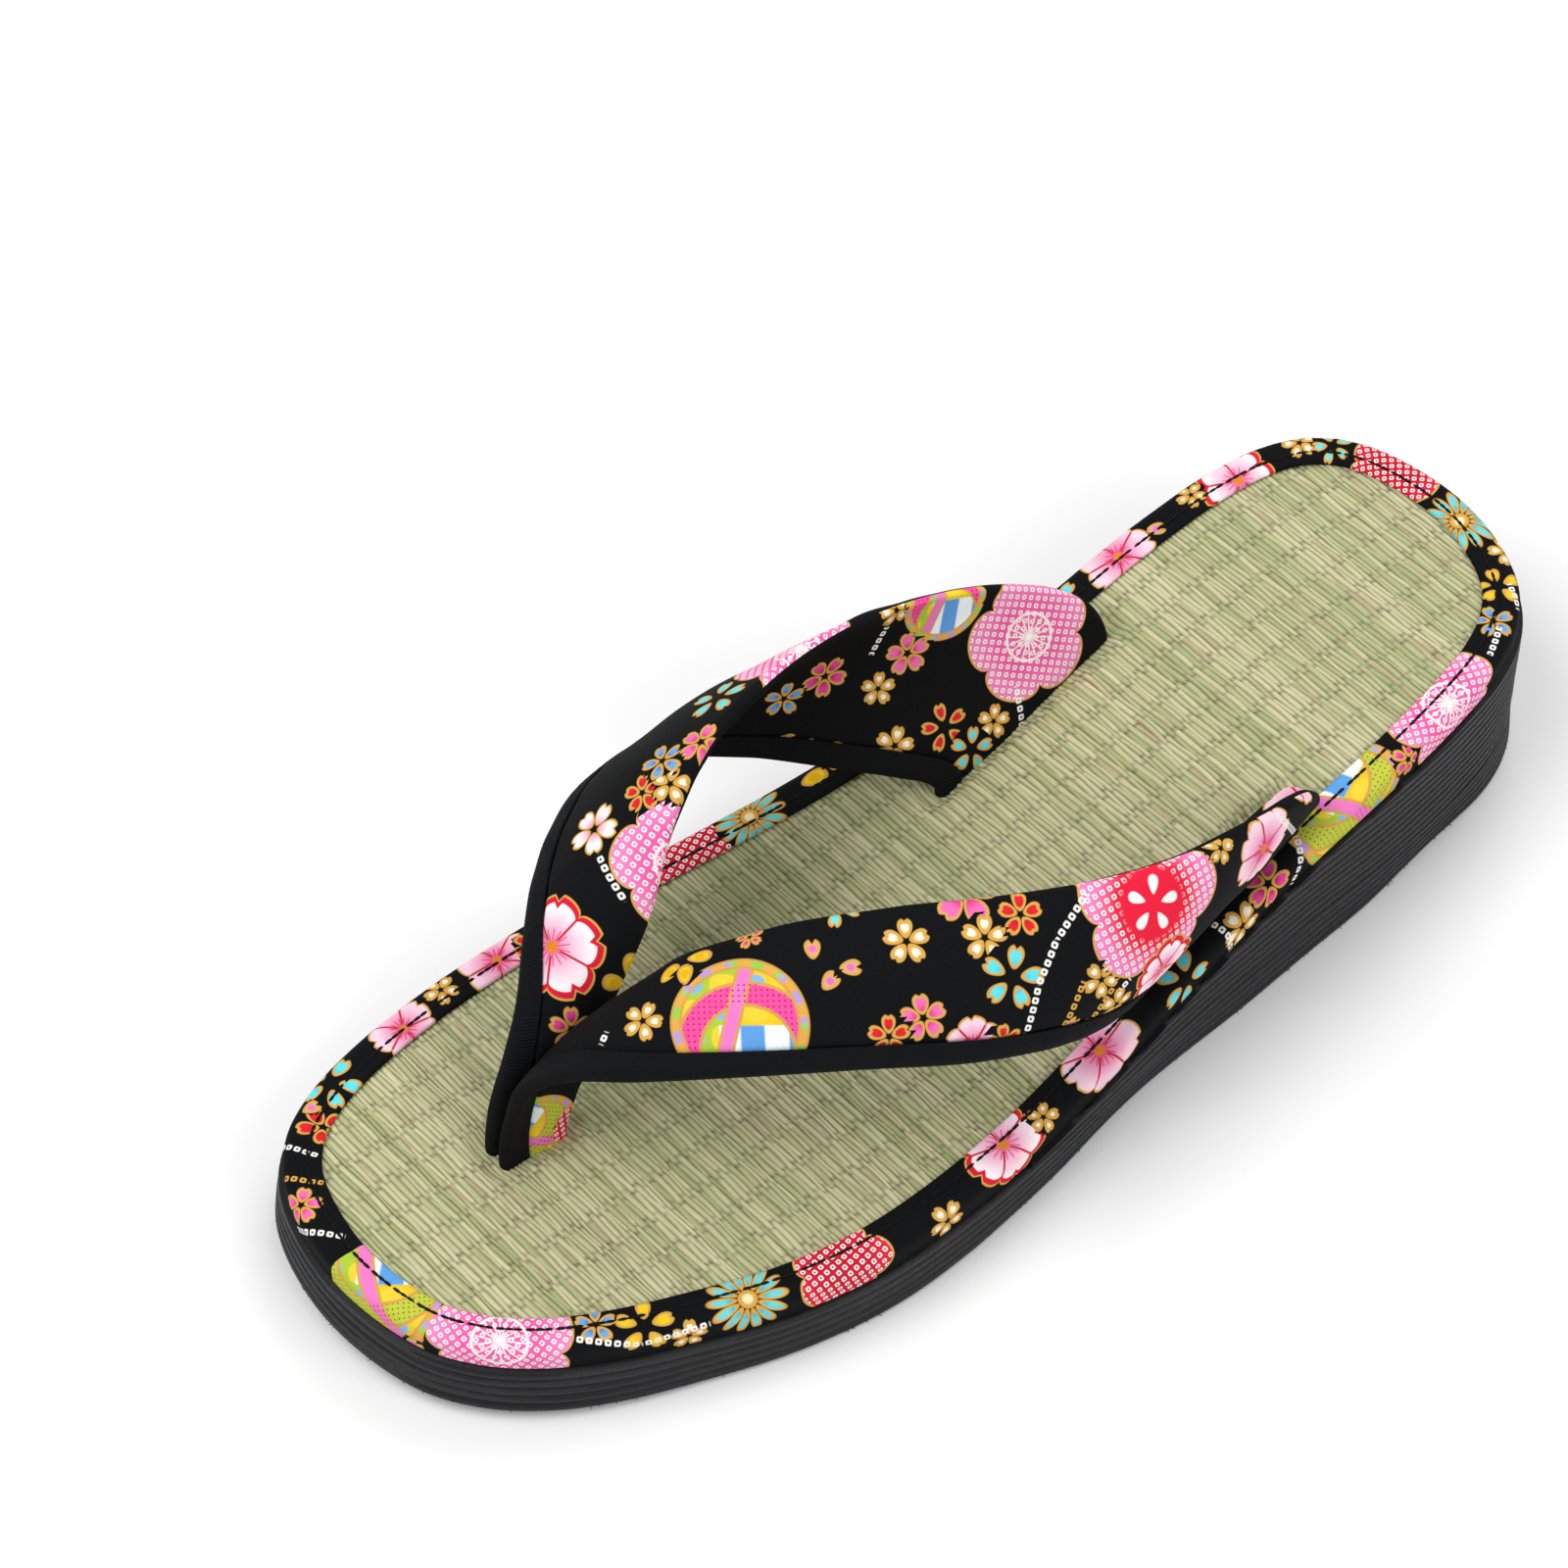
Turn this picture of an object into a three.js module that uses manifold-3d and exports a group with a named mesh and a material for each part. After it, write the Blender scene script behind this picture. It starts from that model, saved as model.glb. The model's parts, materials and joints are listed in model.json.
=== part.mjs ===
// A left zori-style sandal: foam outsole, heel wedge, tatami insole with a printed cotton binding,
// and a V-shaped cotton strap whose front edges are bound in black. Millimetres, +Z up, toe towards -Y.
import * as THREE from "three";
import { mergeVertices } from "three/addons/utils/BufferGeometryUtils.js";
import Module from "manifold-3d";

const wasm = await Module();
wasm.setup();

// Driving sizes
const GAP = 0.3; // clearance between pieces that touch
const SPRING_START_Y = -50; // the toe curls up forward of here
const SPRING_HEIGHT = 3.4; // rise of the toe tip
const OUTSOLE_THICK = 9.8;
const INSOLE_THICK = 4.2;
const REST_HEIGHT = OUTSOLE_THICK + GAP + INSOLE_THICK; // top of the tatami at the ball
const RIB_COUNT = 5; // ribs up the side of the outsole
const RIB_DEPTH = 0.5; // how deep a groove between two ribs is
const RIB_GROOVE = 0.28; // half the width of a groove
const FOAM_PROUD = 0.9; // how far the foam stands outside the binding
const BINDING_WIDTH = 6.7; // binding on top, from the tatami's edge to the outline
const CLOTH = 0.7; // binding cloth with its turned edge
const INSOLE_INSET = CLOTH + GAP;
const STATIONS = 34; // cross sections along the sandal
const OUTLINE_SAMPLES = 900;

// Plan of the footbed, seen from above: a row for each station from toe to heel
const PLAN = [
  { y: -118.0, medial: -21.8, lateral: 14.6 },
  { y: -112.0, medial: -29.9, lateral: 23.8 },
  { y: -104.0, medial: -34.7, lateral: 30.7 },
  { y: -94.0, medial: -37.8, lateral: 36.4 },
  { y: -82.0, medial: -39.8, lateral: 41.5 },
  { y: -66.0, medial: -40.8, lateral: 47.3 },
  { y: -50.0, medial: -40.4, lateral: 50.5 },
  { y: -34.0, medial: -39.1, lateral: 50.9 },
  { y: -16.0, medial: -36.7, lateral: 49.6 },
  { y: 4.0, medial: -33.7, lateral: 46.8 },
  { y: 26.0, medial: -31.2, lateral: 43.8 },
  { y: 50.0, medial: -29.6, lateral: 41.7 },
  { y: 72.0, medial: -29.7, lateral: 40.4 },
  { y: 90.0, medial: -29.3, lateral: 38.0 },
  { y: 101.0, medial: -27.7, lateral: 35.2 },
  { y: 109.0, medial: -24.3, lateral: 31.2 },
  { y: 115.0, medial: -18.6, lateral: 25.4 },
  { y: 119.0, medial: -9.8, lateral: 16.8 },
];
const TOE_TIP = { x: -3.9, y: -121.4 };
const HEEL_TIP = { x: 3.6, y: 121.0 };

// Side view: how far the footbed climbs above its height at the ball
const CLIMB = [
  { y: -60, rise: 0.0 },
  { y: -32, rise: 0.1 },
  { y: -12, rise: 1.3 },
  { y: 10, rise: 4.5 },
  { y: 30, rise: 9.2 },
  { y: 50, rise: 14.8 },
  { y: 70, rise: 19.0 },
  { y: 90, rise: 21.3 },
  { y: 125, rise: 22.4 },
];

// The foam's side leans: how far its foot stands out beyond its top
const FLARE = [
  { y: -126, out: 1.6 },
  { y: -100, out: 1.4 },
  { y: -70, out: 0.6 },
  { y: -35, out: 0.3 },
  { y: -12, out: -0.5 },
  { y: 8, out: -1.2 },
  { y: 40, out: 0.3 },
  { y: 64, out: -0.2 },
  { y: 86, out: -1.1 },
  { y: 104, out: 0.2 },
  { y: 126, out: 1.4 },
];

// Where the strap goes into the footbed: f is the end of the bound front edge, r of the folded rear edge
const POST = {
  lateral: { fx: -3.9, fy: -87.0, rx: -3.4, ry: -73.8 },
  medial: { fx: -7.9, fy: -87.0, rx: -5.4, ry: -73.8 },
};
const SLIT = {
  lateral: { fx: 30.9, fy: 14.6, rx: 30.2, ry: 57.2 },
  medial: { fx: -14.6, fy: 16.0, rx: -17.0, ry: 56.4 },
};

// Strap halves above the footbed: a row for each section from the toe post to the side slit,
// each point on the middle of the band's thickness
const LATERAL_ROWS = [
  { fx: -3.9, fy: -86.6, fz: 19.0, rx: -3.4, ry: -72.4, rz: 19.5 },
  { fx: -3.6, fy: -85.4, fz: 25.0, rx: -3.3, ry: -69.2, rz: 26.5 },
  { fx: -2.6, fy: -83.2, fz: 32.6, rx: -2.8, ry: -63.4, rz: 36.4 },
  { fx: 3.8, fy: -79.3, fz: 41.0, rx: 2.0, ry: -52.6, rz: 47.8 },
  { fx: 14.3, fy: -71.7, fz: 45.8, rx: 10.6, ry: -39.0, rz: 55.2 },
  { fx: 25.2, fy: -58.8, fz: 47.3, rx: 20.9, ry: -23.8, rz: 58.4 },
  { fx: 35.6, fy: -42.4, fz: 45.9, rx: 30.9, ry: -8.0, rz: 58.7 },
  { fx: 44.4, fy: -25.1, fz: 42.0, rx: 37.9, ry: 7.6, rz: 57.2 },
  { fx: 48.0, fy: -8.4, fz: 36.6, rx: 41.4, ry: 24.0, rz: 54.4 },
  { fx: 45.8, fy: 4.0, fz: 31.0, rx: 41.2, ry: 39.0, rz: 50.8 },
  { fx: 42.0, fy: 10.6, fz: 26.8, rx: 39.4, ry: 50.4, rz: 45.4 },
  { fx: 39.2, fy: 13.4, fz: 24.4, rx: 37.6, ry: 55.8, rz: 39.2 },
  { fx: 36.8, fy: 14.6, fz: 22.9, rx: 35.6, ry: 57.4, rz: 35.0 },
  { fx: 33.4, fy: 14.8, fz: 22.2, rx: 32.4, ry: 57.4, rz: 33.4 },
];
const MEDIAL_ROWS = [
  { fx: -7.9, fy: -86.6, fz: 19.0, rx: -5.4, ry: -72.4, rz: 19.5 },
  { fx: -8.2, fy: -85.2, fz: 25.0, rx: -5.5, ry: -69.0, rz: 26.5 },
  { fx: -9.2, fy: -81.6, fz: 32.4, rx: -5.9, ry: -61.4, rz: 35.6 },
  { fx: -13.2, fy: -75.4, fz: 38.8, rx: -8.8, ry: -50.4, rz: 46.8 },
  { fx: -20.8, fy: -67.6, fz: 41.8, rx: -15.0, ry: -39.8, rz: 57.6 },
  { fx: -31.1, fy: -56.5, fz: 42.8, rx: -20.9, ry: -27.2, rz: 62.6 },
  { fx: -39.2, fy: -42.5, fz: 41.9, rx: -25.2, ry: -12.0, rz: 62.2 },
  { fx: -40.8, fy: -27.4, fz: 38.4, rx: -28.4, ry: 2.9, rz: 58.7 },
  { fx: -34.6, fy: -12.6, fz: 33.6, rx: -29.4, ry: 18.3, rz: 54.4 },
  { fx: -24.8, fy: 0.8, fz: 28.8, rx: -27.2, ry: 33.9, rz: 49.7 },
  { fx: -18.4, fy: 10.2, fz: 24.6, rx: -23.2, ry: 47.3, rz: 43.4 },
  { fx: -15.8, fy: 14.8, fz: 21.8, rx: -19.2, ry: 54.6, rz: 36.6 },
];
const STRAP_SECTIONS = 45;
const STRAP_HALF_THICK = 1.25;
const STRAP_CROWN = 1.6; // outward bow across the band
const BIND_DEPTH = 5.3; // how far the edge binding reaches over the band
const BIND_HALF = 1.4;
const BIND_CLOTH = 0.55;
const BIND_NOSE = { in: 0.35, half: 1.0 }; // the binding's rounded front edge
const BIND_FULL = 1.2; // distance from the front edge at which it has its full thickness
const PAD_SHARES = [0.3, 0.6]; // points across the padded part that carry its crown
const FOLD_SHARE = { in: 0.3, half: 0.6 }; // the folded rear edge, as shares of half the thickness
const TONGUE_HALF = BIND_HALF - BIND_CLOTH - GAP;
const SLIT_REACH = 4; // how far a slit's cutter goes below the strap's end
const TYPICAL_WIDTH = 30; // a band width, used to divide the ends of the loft into triangles
const CUT_HALF_WIDTH = 90; // the wedge's cutter reaches well past both sides
const CUT_BOTTOM = -20;

// Heights along the sandal
const climbCurve = new THREE.CubicInterpolant(
  CLIMB.map((row) => row.y),
  CLIMB.map((row) => row.rise),
  1,
);

const flareCurve = new THREE.CubicInterpolant(
  FLARE.map((row) => row.y),
  FLARE.map((row) => row.out),
  1,
);

/** Rise of the toe at y, the same for every layer. */
function springAt(y) {
  const span = -TOE_TIP.y + SPRING_START_Y;
  const ahead = Math.max(0, SPRING_START_Y - y) / span;
  return SPRING_HEIGHT * ahead * ahead;
}

/** Height of the tatami's surface at y. */
function restAt(y) {
  return REST_HEIGHT + springAt(y) + Math.max(0, climbCurve.evaluate(y)[0]);
}

// Plan outline: a closed curve through the table, read off at stations
const planCurve = new THREE.CatmullRomCurve3(
  [
    new THREE.Vector3(TOE_TIP.x, TOE_TIP.y, 0),
    ...PLAN.map((row) => new THREE.Vector3(row.lateral, row.y, 0)),
    new THREE.Vector3(HEEL_TIP.x, HEEL_TIP.y, 0),
    ...PLAN.map((row) => new THREE.Vector3(row.medial, row.y, 0)).reverse(),
  ],
  true,
  "centripetal",
);
const planSamples = planCurve.getPoints(OUTLINE_SAMPLES).slice(0, OUTLINE_SAMPLES);
const toeSample = planSamples.reduce((best, p) => (p.y < best.y ? p : best));
const heelSample = planSamples.reduce((best, p) => (p.y > best.y ? p : best));

/** Where one side of the plan crosses a station: side is 1 for lateral, -1 for medial. */
function crossingAt(y, side) {
  let found = null;
  planSamples.forEach((a, i) => {
    const b = planSamples[(i + 1) % planSamples.length];
    if ((a.y - y) * (b.y - y) > 0 || a.y === b.y) return;
    const x = a.x + ((b.x - a.x) * (y - a.y)) / (b.y - a.y);
    if (found === null || (x - found) * side > 0) found = x;
  });
  return new THREE.Vector2(found, y);
}

/** The plan outline anticlockwise from above, with an outward normal at each point. */
function makeOutline() {
  const lateral = [];
  const medial = [];
  for (let k = 1; k <= STATIONS; k += 1) {
    const share = (1 - Math.cos((Math.PI * k) / (STATIONS + 1))) / 2;
    const y = toeSample.y + (heelSample.y - toeSample.y) * share;
    lateral.push(crossingAt(y, 1));
    medial.push(crossingAt(y, -1));
  }
  const toe = new THREE.Vector2(toeSample.x, toeSample.y);
  const heel = new THREE.Vector2(heelSample.x, heelSample.y);
  const points = [toe, ...lateral, heel, ...medial.reverse()];
  return points.map((p, i) => {
    const before = points[(i + points.length - 1) % points.length];
    const after = points[(i + 1) % points.length];
    const along = after.clone().sub(before).normalize();
    return { point: p, normal: new THREE.Vector2(along.y, -along.x) };
  });
}
const OUTLINE = makeOutline();

/** How far the foot of the foam stands out beyond its top at y. */
function flareAt(y) {
  return flareCurve.evaluate(y)[0];
}

/** One loop of the outline, moved outwards by offset plus a share of the flare; heights follow y. */
function loopAt(offset, heightAt, flare = 0) {
  return OUTLINE.map(({ point, normal }) => {
    const out = offset + flare * flareAt(point.y);
    const x = point.x + normal.x * out;
    const y = point.y + normal.y * out;
    return new THREE.Vector3(x, y, heightAt(y));
  });
}

/** Triangles of a ladder that closes an outline loop: up is true when the cap faces up. */
function capTriangles(first, count, up) {
  const triangles = [];
  const put = (a, b, c) => {
    triangles.push(up ? [first + a, first + b, first + c] : [first + a, first + c, first + b]);
  };
  const mirror = (i) => (count - i) % count;
  const half = count / 2;
  for (let i = 0; i < half; i += 1) {
    if (i > 0) put(i, i + 1, mirror(i));
    if (i < half - 1) put(i + 1, mirror(i + 1), mirror(i));
  }
  return triangles;
}

/** A closed solid from loops stacked upwards, capped below and above. */
function stackedSolid(loops) {
  const count = loops[0].length;
  const triangles = [...capTriangles(0, count, false)];
  for (let k = 0; k < loops.length - 1; k += 1) {
    for (let i = 0; i < count; i += 1) {
      const a = k * count + i;
      const b = k * count + ((i + 1) % count);
      triangles.push([a, b, b + count], [a, b + count, a + count]);
    }
  }
  triangles.push(...capTriangles((loops.length - 1) * count, count, true));
  return geometryFrom(loops.flat(), triangles);
}

/** A closed ring from loops that follow its section round; the last loop joins the first. */
function ringSolid(loops) {
  const count = loops[0].length;
  const triangles = [];
  loops.forEach((_, k) => {
    const next = ((k + 1) % loops.length) * count;
    for (let i = 0; i < count; i += 1) {
      const a = k * count + i;
      const b = k * count + ((i + 1) % count);
      const c = next + ((i + 1) % count);
      const d = next + i;
      triangles.push([a, b, c], [a, c, d]);
    }
  });
  return geometryFrom(loops.flat(), triangles);
}

function geometryFrom(points, triangles) {
  const geometry = new THREE.BufferGeometry();
  const flat = points.flatMap((p) => [p.x, p.y, p.z]);
  geometry.setAttribute("position", new THREE.Float32BufferAttribute(flat, 3));
  geometry.setIndex(triangles.flat());
  return geometry;
}

function toManifold(geometry) {
  const bare = geometry.clone();
  bare.deleteAttribute("normal");
  bare.deleteAttribute("uv");
  const merged = mergeVertices(bare, 1e-4);
  const mesh = new wasm.Mesh({
    numProp: 3,
    vertProperties: merged.attributes.position.array,
    triVerts: new Uint32Array(merged.index.array),
  });
  return new wasm.Manifold(mesh);
}

function fromManifold(solid) {
  const mesh = solid.getMesh();
  const geometry = new THREE.BufferGeometry();
  geometry.setAttribute("position", new THREE.BufferAttribute(mesh.vertProperties, 3));
  geometry.setIndex(new THREE.BufferAttribute(mesh.triVerts, 1));
  return geometry;
}

/** Loops of a ribbed wall from z = bottom up, with a groove between two ribs. */
function ribbedLoops(bottom, pitch, ribs, heightOf) {
  const loops = [];
  const level = (offset, z) => {
    const flare = Math.max(0, 1 - z / OUTSOLE_THICK);
    loops.push(loopAt(FOAM_PROUD + offset, (y) => heightOf(y, z), flare));
  };
  for (let rib = 0; rib < ribs; rib += 1) {
    const base = bottom + rib * pitch;
    level(-RIB_DEPTH, base);
    level(0, base + RIB_GROOVE);
    level(0, base + pitch - RIB_GROOVE);
  }
  level(-RIB_DEPTH, bottom + ribs * pitch);
  return loops;
}

// Foam outsole: one layer of even thickness with ribs all round its side
const RIB_PITCH = OUTSOLE_THICK / RIB_COUNT;
const outsole = stackedSolid(
  ribbedLoops(0, RIB_PITCH, RIB_COUNT, (y, z) => z + springAt(y)),
);

// Heel wedge: the same ribbed wall, cut to the slope of the footbed's underside
const WEDGE_BOTTOM = OUTSOLE_THICK + GAP;
const WEDGE_TIP = 0.7; // thickness where the wedge begins
const WEDGE_RIBS = 11;
const WEDGE_STEP = 4; // spacing of the cutter's points along the sandal
const WEDGE_SEARCH = 0.5; // step in the search for the place where the wedge begins

/** Height of the wedge's top at y, just under the insole. */
function wedgeTopAt(y) {
  return restAt(y) - INSOLE_THICK - GAP;
}

function makeWedge() {
  const wall = stackedSolid(ribbedLoops(WEDGE_BOTTOM, RIB_PITCH, WEDGE_RIBS, (_, z) => z));
  let start = CLIMB[1].y;
  while (wedgeTopAt(start) < WEDGE_BOTTOM + WEDGE_TIP) start += WEDGE_SEARCH;
  const end = HEEL_TIP.y + WEDGE_STEP * 2;
  const side = new THREE.Shape();
  side.moveTo(start, CUT_BOTTOM);
  side.lineTo(end, CUT_BOTTOM);
  for (let y = end; y > start; y -= WEDGE_STEP) side.lineTo(y, wedgeTopAt(y));
  side.lineTo(start, wedgeTopAt(start));
  side.closePath();
  const depth = 2 * CUT_HALF_WIDTH;
  const cutter = new THREE.ExtrudeGeometry(side, { depth, bevelEnabled: false });
  cutter.rotateX(Math.PI / 2);
  cutter.rotateZ(Math.PI / 2);
  cutter.translate(-CUT_HALF_WIDTH, 0, 0);
  return fromManifold(toManifold(wall).intersect(toManifold(cutter)));
}

// Insole binding: printed cotton over the edge, a lip on the tatami and a drop down the side
const BINDING_SECTION = [
  { out: -BINDING_WIDTH, up: GAP },
  { out: -CLOTH, up: GAP },
  { out: -CLOTH, up: -INSOLE_THICK },
  { out: 0, up: -INSOLE_THICK },
  { out: 0, up: -1.1 },
  { out: -0.5, up: 0.1 },
  { out: -1.7, up: GAP + CLOTH - 0.1 },
  { out: -BINDING_WIDTH + 0.4, up: GAP + CLOTH },
  { out: -BINDING_WIDTH, up: GAP + CLOTH - 0.3 },
];

function makeBinding() {
  const loops = BINDING_SECTION.map(({ out, up }) => loopAt(out, (y) => restAt(y) + up));
  return ringSolid(loops);
}

// Strap: a padded band lofted through the rows, with a tongue that the edge binding covers
/** A row of the strap at one of its ends, lifted from the footbed's surface. */
function footRow(end, lift) {
  return { ...end, fz: restAt(end.fy) + lift, rz: restAt(end.ry) + lift };
}

/** All rows of a strap half, with its ends let into the insole. */
function rowsOf(post, rows, slit) {
  const sunk = -INSOLE_THICK;
  return [footRow(post, sunk), footRow(post, 0), ...rows, footRow(slit, 0), footRow(slit, sunk)];
}

/** The edges of a strap half as two curves that share one parameter. */
function bandOf(rows, side) {
  const front = rows.map((row) => new THREE.Vector3(row.fx, row.fy, row.fz));
  const rear = rows.map((row) => new THREE.Vector3(row.rx, row.ry, row.rz));
  return {
    front: new THREE.CatmullRomCurve3(front, false, "centripetal"),
    rear: new THREE.CatmullRomCurve3(rear, false, "centripetal"),
    side,
  };
}

/** Maps a distance from the front edge and a lift to a point, at a share of the way from post to slit. */
function bandSection(band, share) {
  const front = band.front.getPoint(share);
  const rear = band.rear.getPoint(share);
  const width = rear.distanceTo(front);
  const across = rear.clone().sub(front).normalize();
  const step = 0.01;
  const middleAt = (t) => {
    const at = THREE.MathUtils.clamp(t, 0, 1);
    return band.front.getPoint(at).add(band.rear.getPoint(at)).multiplyScalar(0.5);
  };
  const along = middleAt(share + step).sub(middleAt(share - step));
  const outward = along.cross(across).normalize().multiplyScalar(band.side);
  const bow = STRAP_CROWN * Math.sin(Math.PI * share);
  return (distance, lift) => {
    const crown = bow * Math.sin((Math.PI * distance) / width);
    return front
      .clone()
      .addScaledVector(across, distance)
      .addScaledVector(outward, lift + crown);
  };
}

/** Lofts a closed section along a strap half; reach carries both ends further down. */
function loftBand(band, sectionOf, reach = 0) {
  const sections = [];
  for (let k = 0; k <= STRAP_SECTIONS; k += 1) {
    const share = k / STRAP_SECTIONS;
    const at = bandSection(band, share);
    const width = band.rear.getPoint(share).distanceTo(band.front.getPoint(share));
    sections.push(sectionOf(width).map(([distance, lift]) => at(distance, lift)));
  }
  if (reach > 0) {
    const down = new THREE.Vector3(0, 0, -reach);
    sections.unshift(sections[0].map((p) => p.clone().add(down)));
    sections.push(sections.at(-1).map((p) => p.clone().add(down)));
  }
  const count = sections[0].length;
  const last = (sections.length - 1) * count;
  const triangles = [];
  for (let k = 0; k < last; k += count) {
    for (let i = 0; i < count; i += 1) {
      const a = k + i;
      const b = k + ((i + 1) % count);
      triangles.push([a, b, b + count], [a, b + count, a + count]);
    }
  }
  const flat = sectionOf(TYPICAL_WIDTH).map(([distance, lift]) => new THREE.Vector2(distance, lift));
  const order = Math.sign(THREE.ShapeUtils.area(flat));
  THREE.ShapeUtils.triangulateShape(flat, []).forEach((face) => {
    const turned = Math.sign(THREE.ShapeUtils.area(face.map((i) => flat[i]))) === order;
    const [a, b, c] = turned ? face : [...face].reverse();
    triangles.push([a, c, b], [last + a, last + b, last + c]);
  });
  if (order * band.side < 0) triangles.forEach((face) => face.reverse());
  return geometryFrom(sections.flat(), triangles);
}

/** Section of the padded band: a thin tongue at the front, then the full wall to the folded rear edge. */
function padSection(width) {
  const start = BIND_CLOTH + GAP;
  const shoulder = BIND_DEPTH + GAP;
  const side = [
    [start, TONGUE_HALF],
    [shoulder, TONGUE_HALF],
    [shoulder, STRAP_HALF_THICK],
    ...PAD_SHARES.map((share) => [shoulder + (width - shoulder) * share, STRAP_HALF_THICK]),
    [width - STRAP_HALF_THICK, STRAP_HALF_THICK],
    [width - STRAP_HALF_THICK * FOLD_SHARE.in, STRAP_HALF_THICK * FOLD_SHARE.half],
  ];
  const other = side.map(([distance, lift]) => [distance, -lift]).reverse();
  return [...side, [width, 0], ...other];
}

/** Section of the edge binding: a folded channel over the tongue. */
function channelSection() {
  const outer = [
    [BIND_NOSE.in, BIND_NOSE.half],
    [BIND_FULL, BIND_HALF],
    [BIND_DEPTH, BIND_HALF],
    [BIND_DEPTH, BIND_HALF - BIND_CLOTH],
    [BIND_CLOTH, BIND_HALF - BIND_CLOTH],
  ];
  const other = outer.map(([distance, lift]) => [distance, -lift]).reverse();
  return [[0, 0], ...outer, ...other];
}

/** Section of the room that an edge binding takes, with its clearance. */
function channelRoom() {
  const half = BIND_HALF + GAP;
  const depth = BIND_DEPTH + GAP;
  return [[-GAP, half], [depth, half], [depth, -half], [-GAP, -half]];
}

/** Section of a slit's cutter: the strap with its binding and the clearance all round. */
function slitSection(width) {
  const side = [
    [-GAP, BIND_HALF + GAP],
    [BIND_DEPTH + GAP, BIND_HALF + GAP],
    [BIND_DEPTH + GAP, STRAP_HALF_THICK + GAP],
    [width + GAP, STRAP_HALF_THICK + GAP],
  ];
  const other = side.map(([distance, lift]) => [distance, -lift]).reverse();
  return [...side, ...other];
}

const lateralBand = bandOf(rowsOf(POST.lateral, LATERAL_ROWS, SLIT.lateral), 1);
const medialBand = bandOf(rowsOf(POST.medial, MEDIAL_ROWS, SLIT.medial), -1);

/** Both halves of the strap, joined where they press together at the post. */
function makeStrap() {
  const lateral = toManifold(loftBand(lateralBand, padSection));
  const medial = toManifold(loftBand(medialBand, padSection));
  const room = toManifold(loftBand(lateralBand, channelRoom));
  return fromManifold(lateral.add(medial.subtract(room)));
}

/** The medial half's edge binding, kept clear of the lateral half beside it at the post. */
function makeMedialBinding() {
  const channel = toManifold(loftBand(medialBand, channelSection));
  const lateral = toManifold(loftBand(lateralBand, slitSection));
  return fromManifold(channel.subtract(lateral));
}

// Insole: the tatami-faced board, with the slits that the strap passes through
function makeInsole() {
  const board = stackedSolid([
    loopAt(-INSOLE_INSET, (y) => restAt(y) - INSOLE_THICK),
    loopAt(-INSOLE_INSET, restAt),
  ]);
  const slits = [lateralBand, medialBand].map((band) => loftBand(band, slitSection, SLIT_REACH));
  const between = new THREE.BoxGeometry(
    POST.lateral.fx - POST.medial.fx,
    POST.lateral.ry - POST.lateral.fy,
    INSOLE_THICK * 3,
  );
  between.translate(
    (POST.lateral.fx + POST.medial.fx) / 2,
    (POST.lateral.ry + POST.lateral.fy) / 2,
    restAt(POST.lateral.ry),
  );
  const cuts = [...slits, between].map(toManifold);
  return fromManifold(cuts.reduce((solid, cut) => solid.subtract(cut), toManifold(board)));
}

// Finishes: sRGB colours of the real sandal
const FINISH = {
  foam: { color: "#26262a", roughness: 0.75, metalness: 0 },
  tatami: { color: "#b9b98c", roughness: 0.65, metalness: 0 },
  print: { color: "#3a1f2a", roughness: 0.9, metalness: 0 },
  bias: { color: "#121316", roughness: 0.85, metalness: 0 },
};

const sandal = new THREE.Group();

function addPiece(name, geometry, finish) {
  const mesh = new THREE.Mesh(geometry, new THREE.MeshStandardMaterial(finish));
  mesh.name = name;
  sandal.add(mesh);
}

addPiece("outsole", outsole, FINISH.foam);
addPiece("heel_wedge", makeWedge(), FINISH.foam);
addPiece("insole", makeInsole(), FINISH.tatami);
addPiece("insole_binding", makeBinding(), FINISH.print);
addPiece("strap", makeStrap(), FINISH.print);
addPiece("strap_binding_lateral", loftBand(lateralBand, channelSection), FINISH.bias);
addPiece("strap_binding_medial", makeMedialBinding(), FINISH.bias);

// The origin is the middle of the sandal's box, on the floor
const box = new THREE.Box3().setFromObject(sandal);
const middle = box.getCenter(new THREE.Vector3());
sandal.position.set(-middle.x, -middle.y, -box.min.z);

export default sandal;
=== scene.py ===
"""A left zori sandal: ribbed foam sole, rush footbed, printed binding and padded thong strap."""

from __future__ import annotations

import json
import logging
import math
from dataclasses import dataclass, field
from enum import Enum

import bpy
import numpy as np
from mathutils import Matrix, Vector

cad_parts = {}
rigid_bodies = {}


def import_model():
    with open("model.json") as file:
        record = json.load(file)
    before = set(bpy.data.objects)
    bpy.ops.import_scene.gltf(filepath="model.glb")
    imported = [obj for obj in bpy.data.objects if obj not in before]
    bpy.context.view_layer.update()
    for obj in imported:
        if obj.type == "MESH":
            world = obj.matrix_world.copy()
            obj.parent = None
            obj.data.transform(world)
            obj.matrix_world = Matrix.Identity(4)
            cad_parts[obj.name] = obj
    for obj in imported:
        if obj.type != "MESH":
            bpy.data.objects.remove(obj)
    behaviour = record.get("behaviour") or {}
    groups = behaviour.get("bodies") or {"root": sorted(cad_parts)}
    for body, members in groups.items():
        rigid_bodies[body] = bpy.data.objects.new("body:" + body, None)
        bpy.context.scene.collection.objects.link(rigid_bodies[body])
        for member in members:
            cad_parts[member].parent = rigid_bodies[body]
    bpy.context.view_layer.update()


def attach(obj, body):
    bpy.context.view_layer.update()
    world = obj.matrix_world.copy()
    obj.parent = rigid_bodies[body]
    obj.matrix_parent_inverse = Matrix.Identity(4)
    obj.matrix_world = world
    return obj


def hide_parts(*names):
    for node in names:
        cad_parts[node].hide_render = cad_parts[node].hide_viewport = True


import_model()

LOG = logging.getLogger("sandal")
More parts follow.
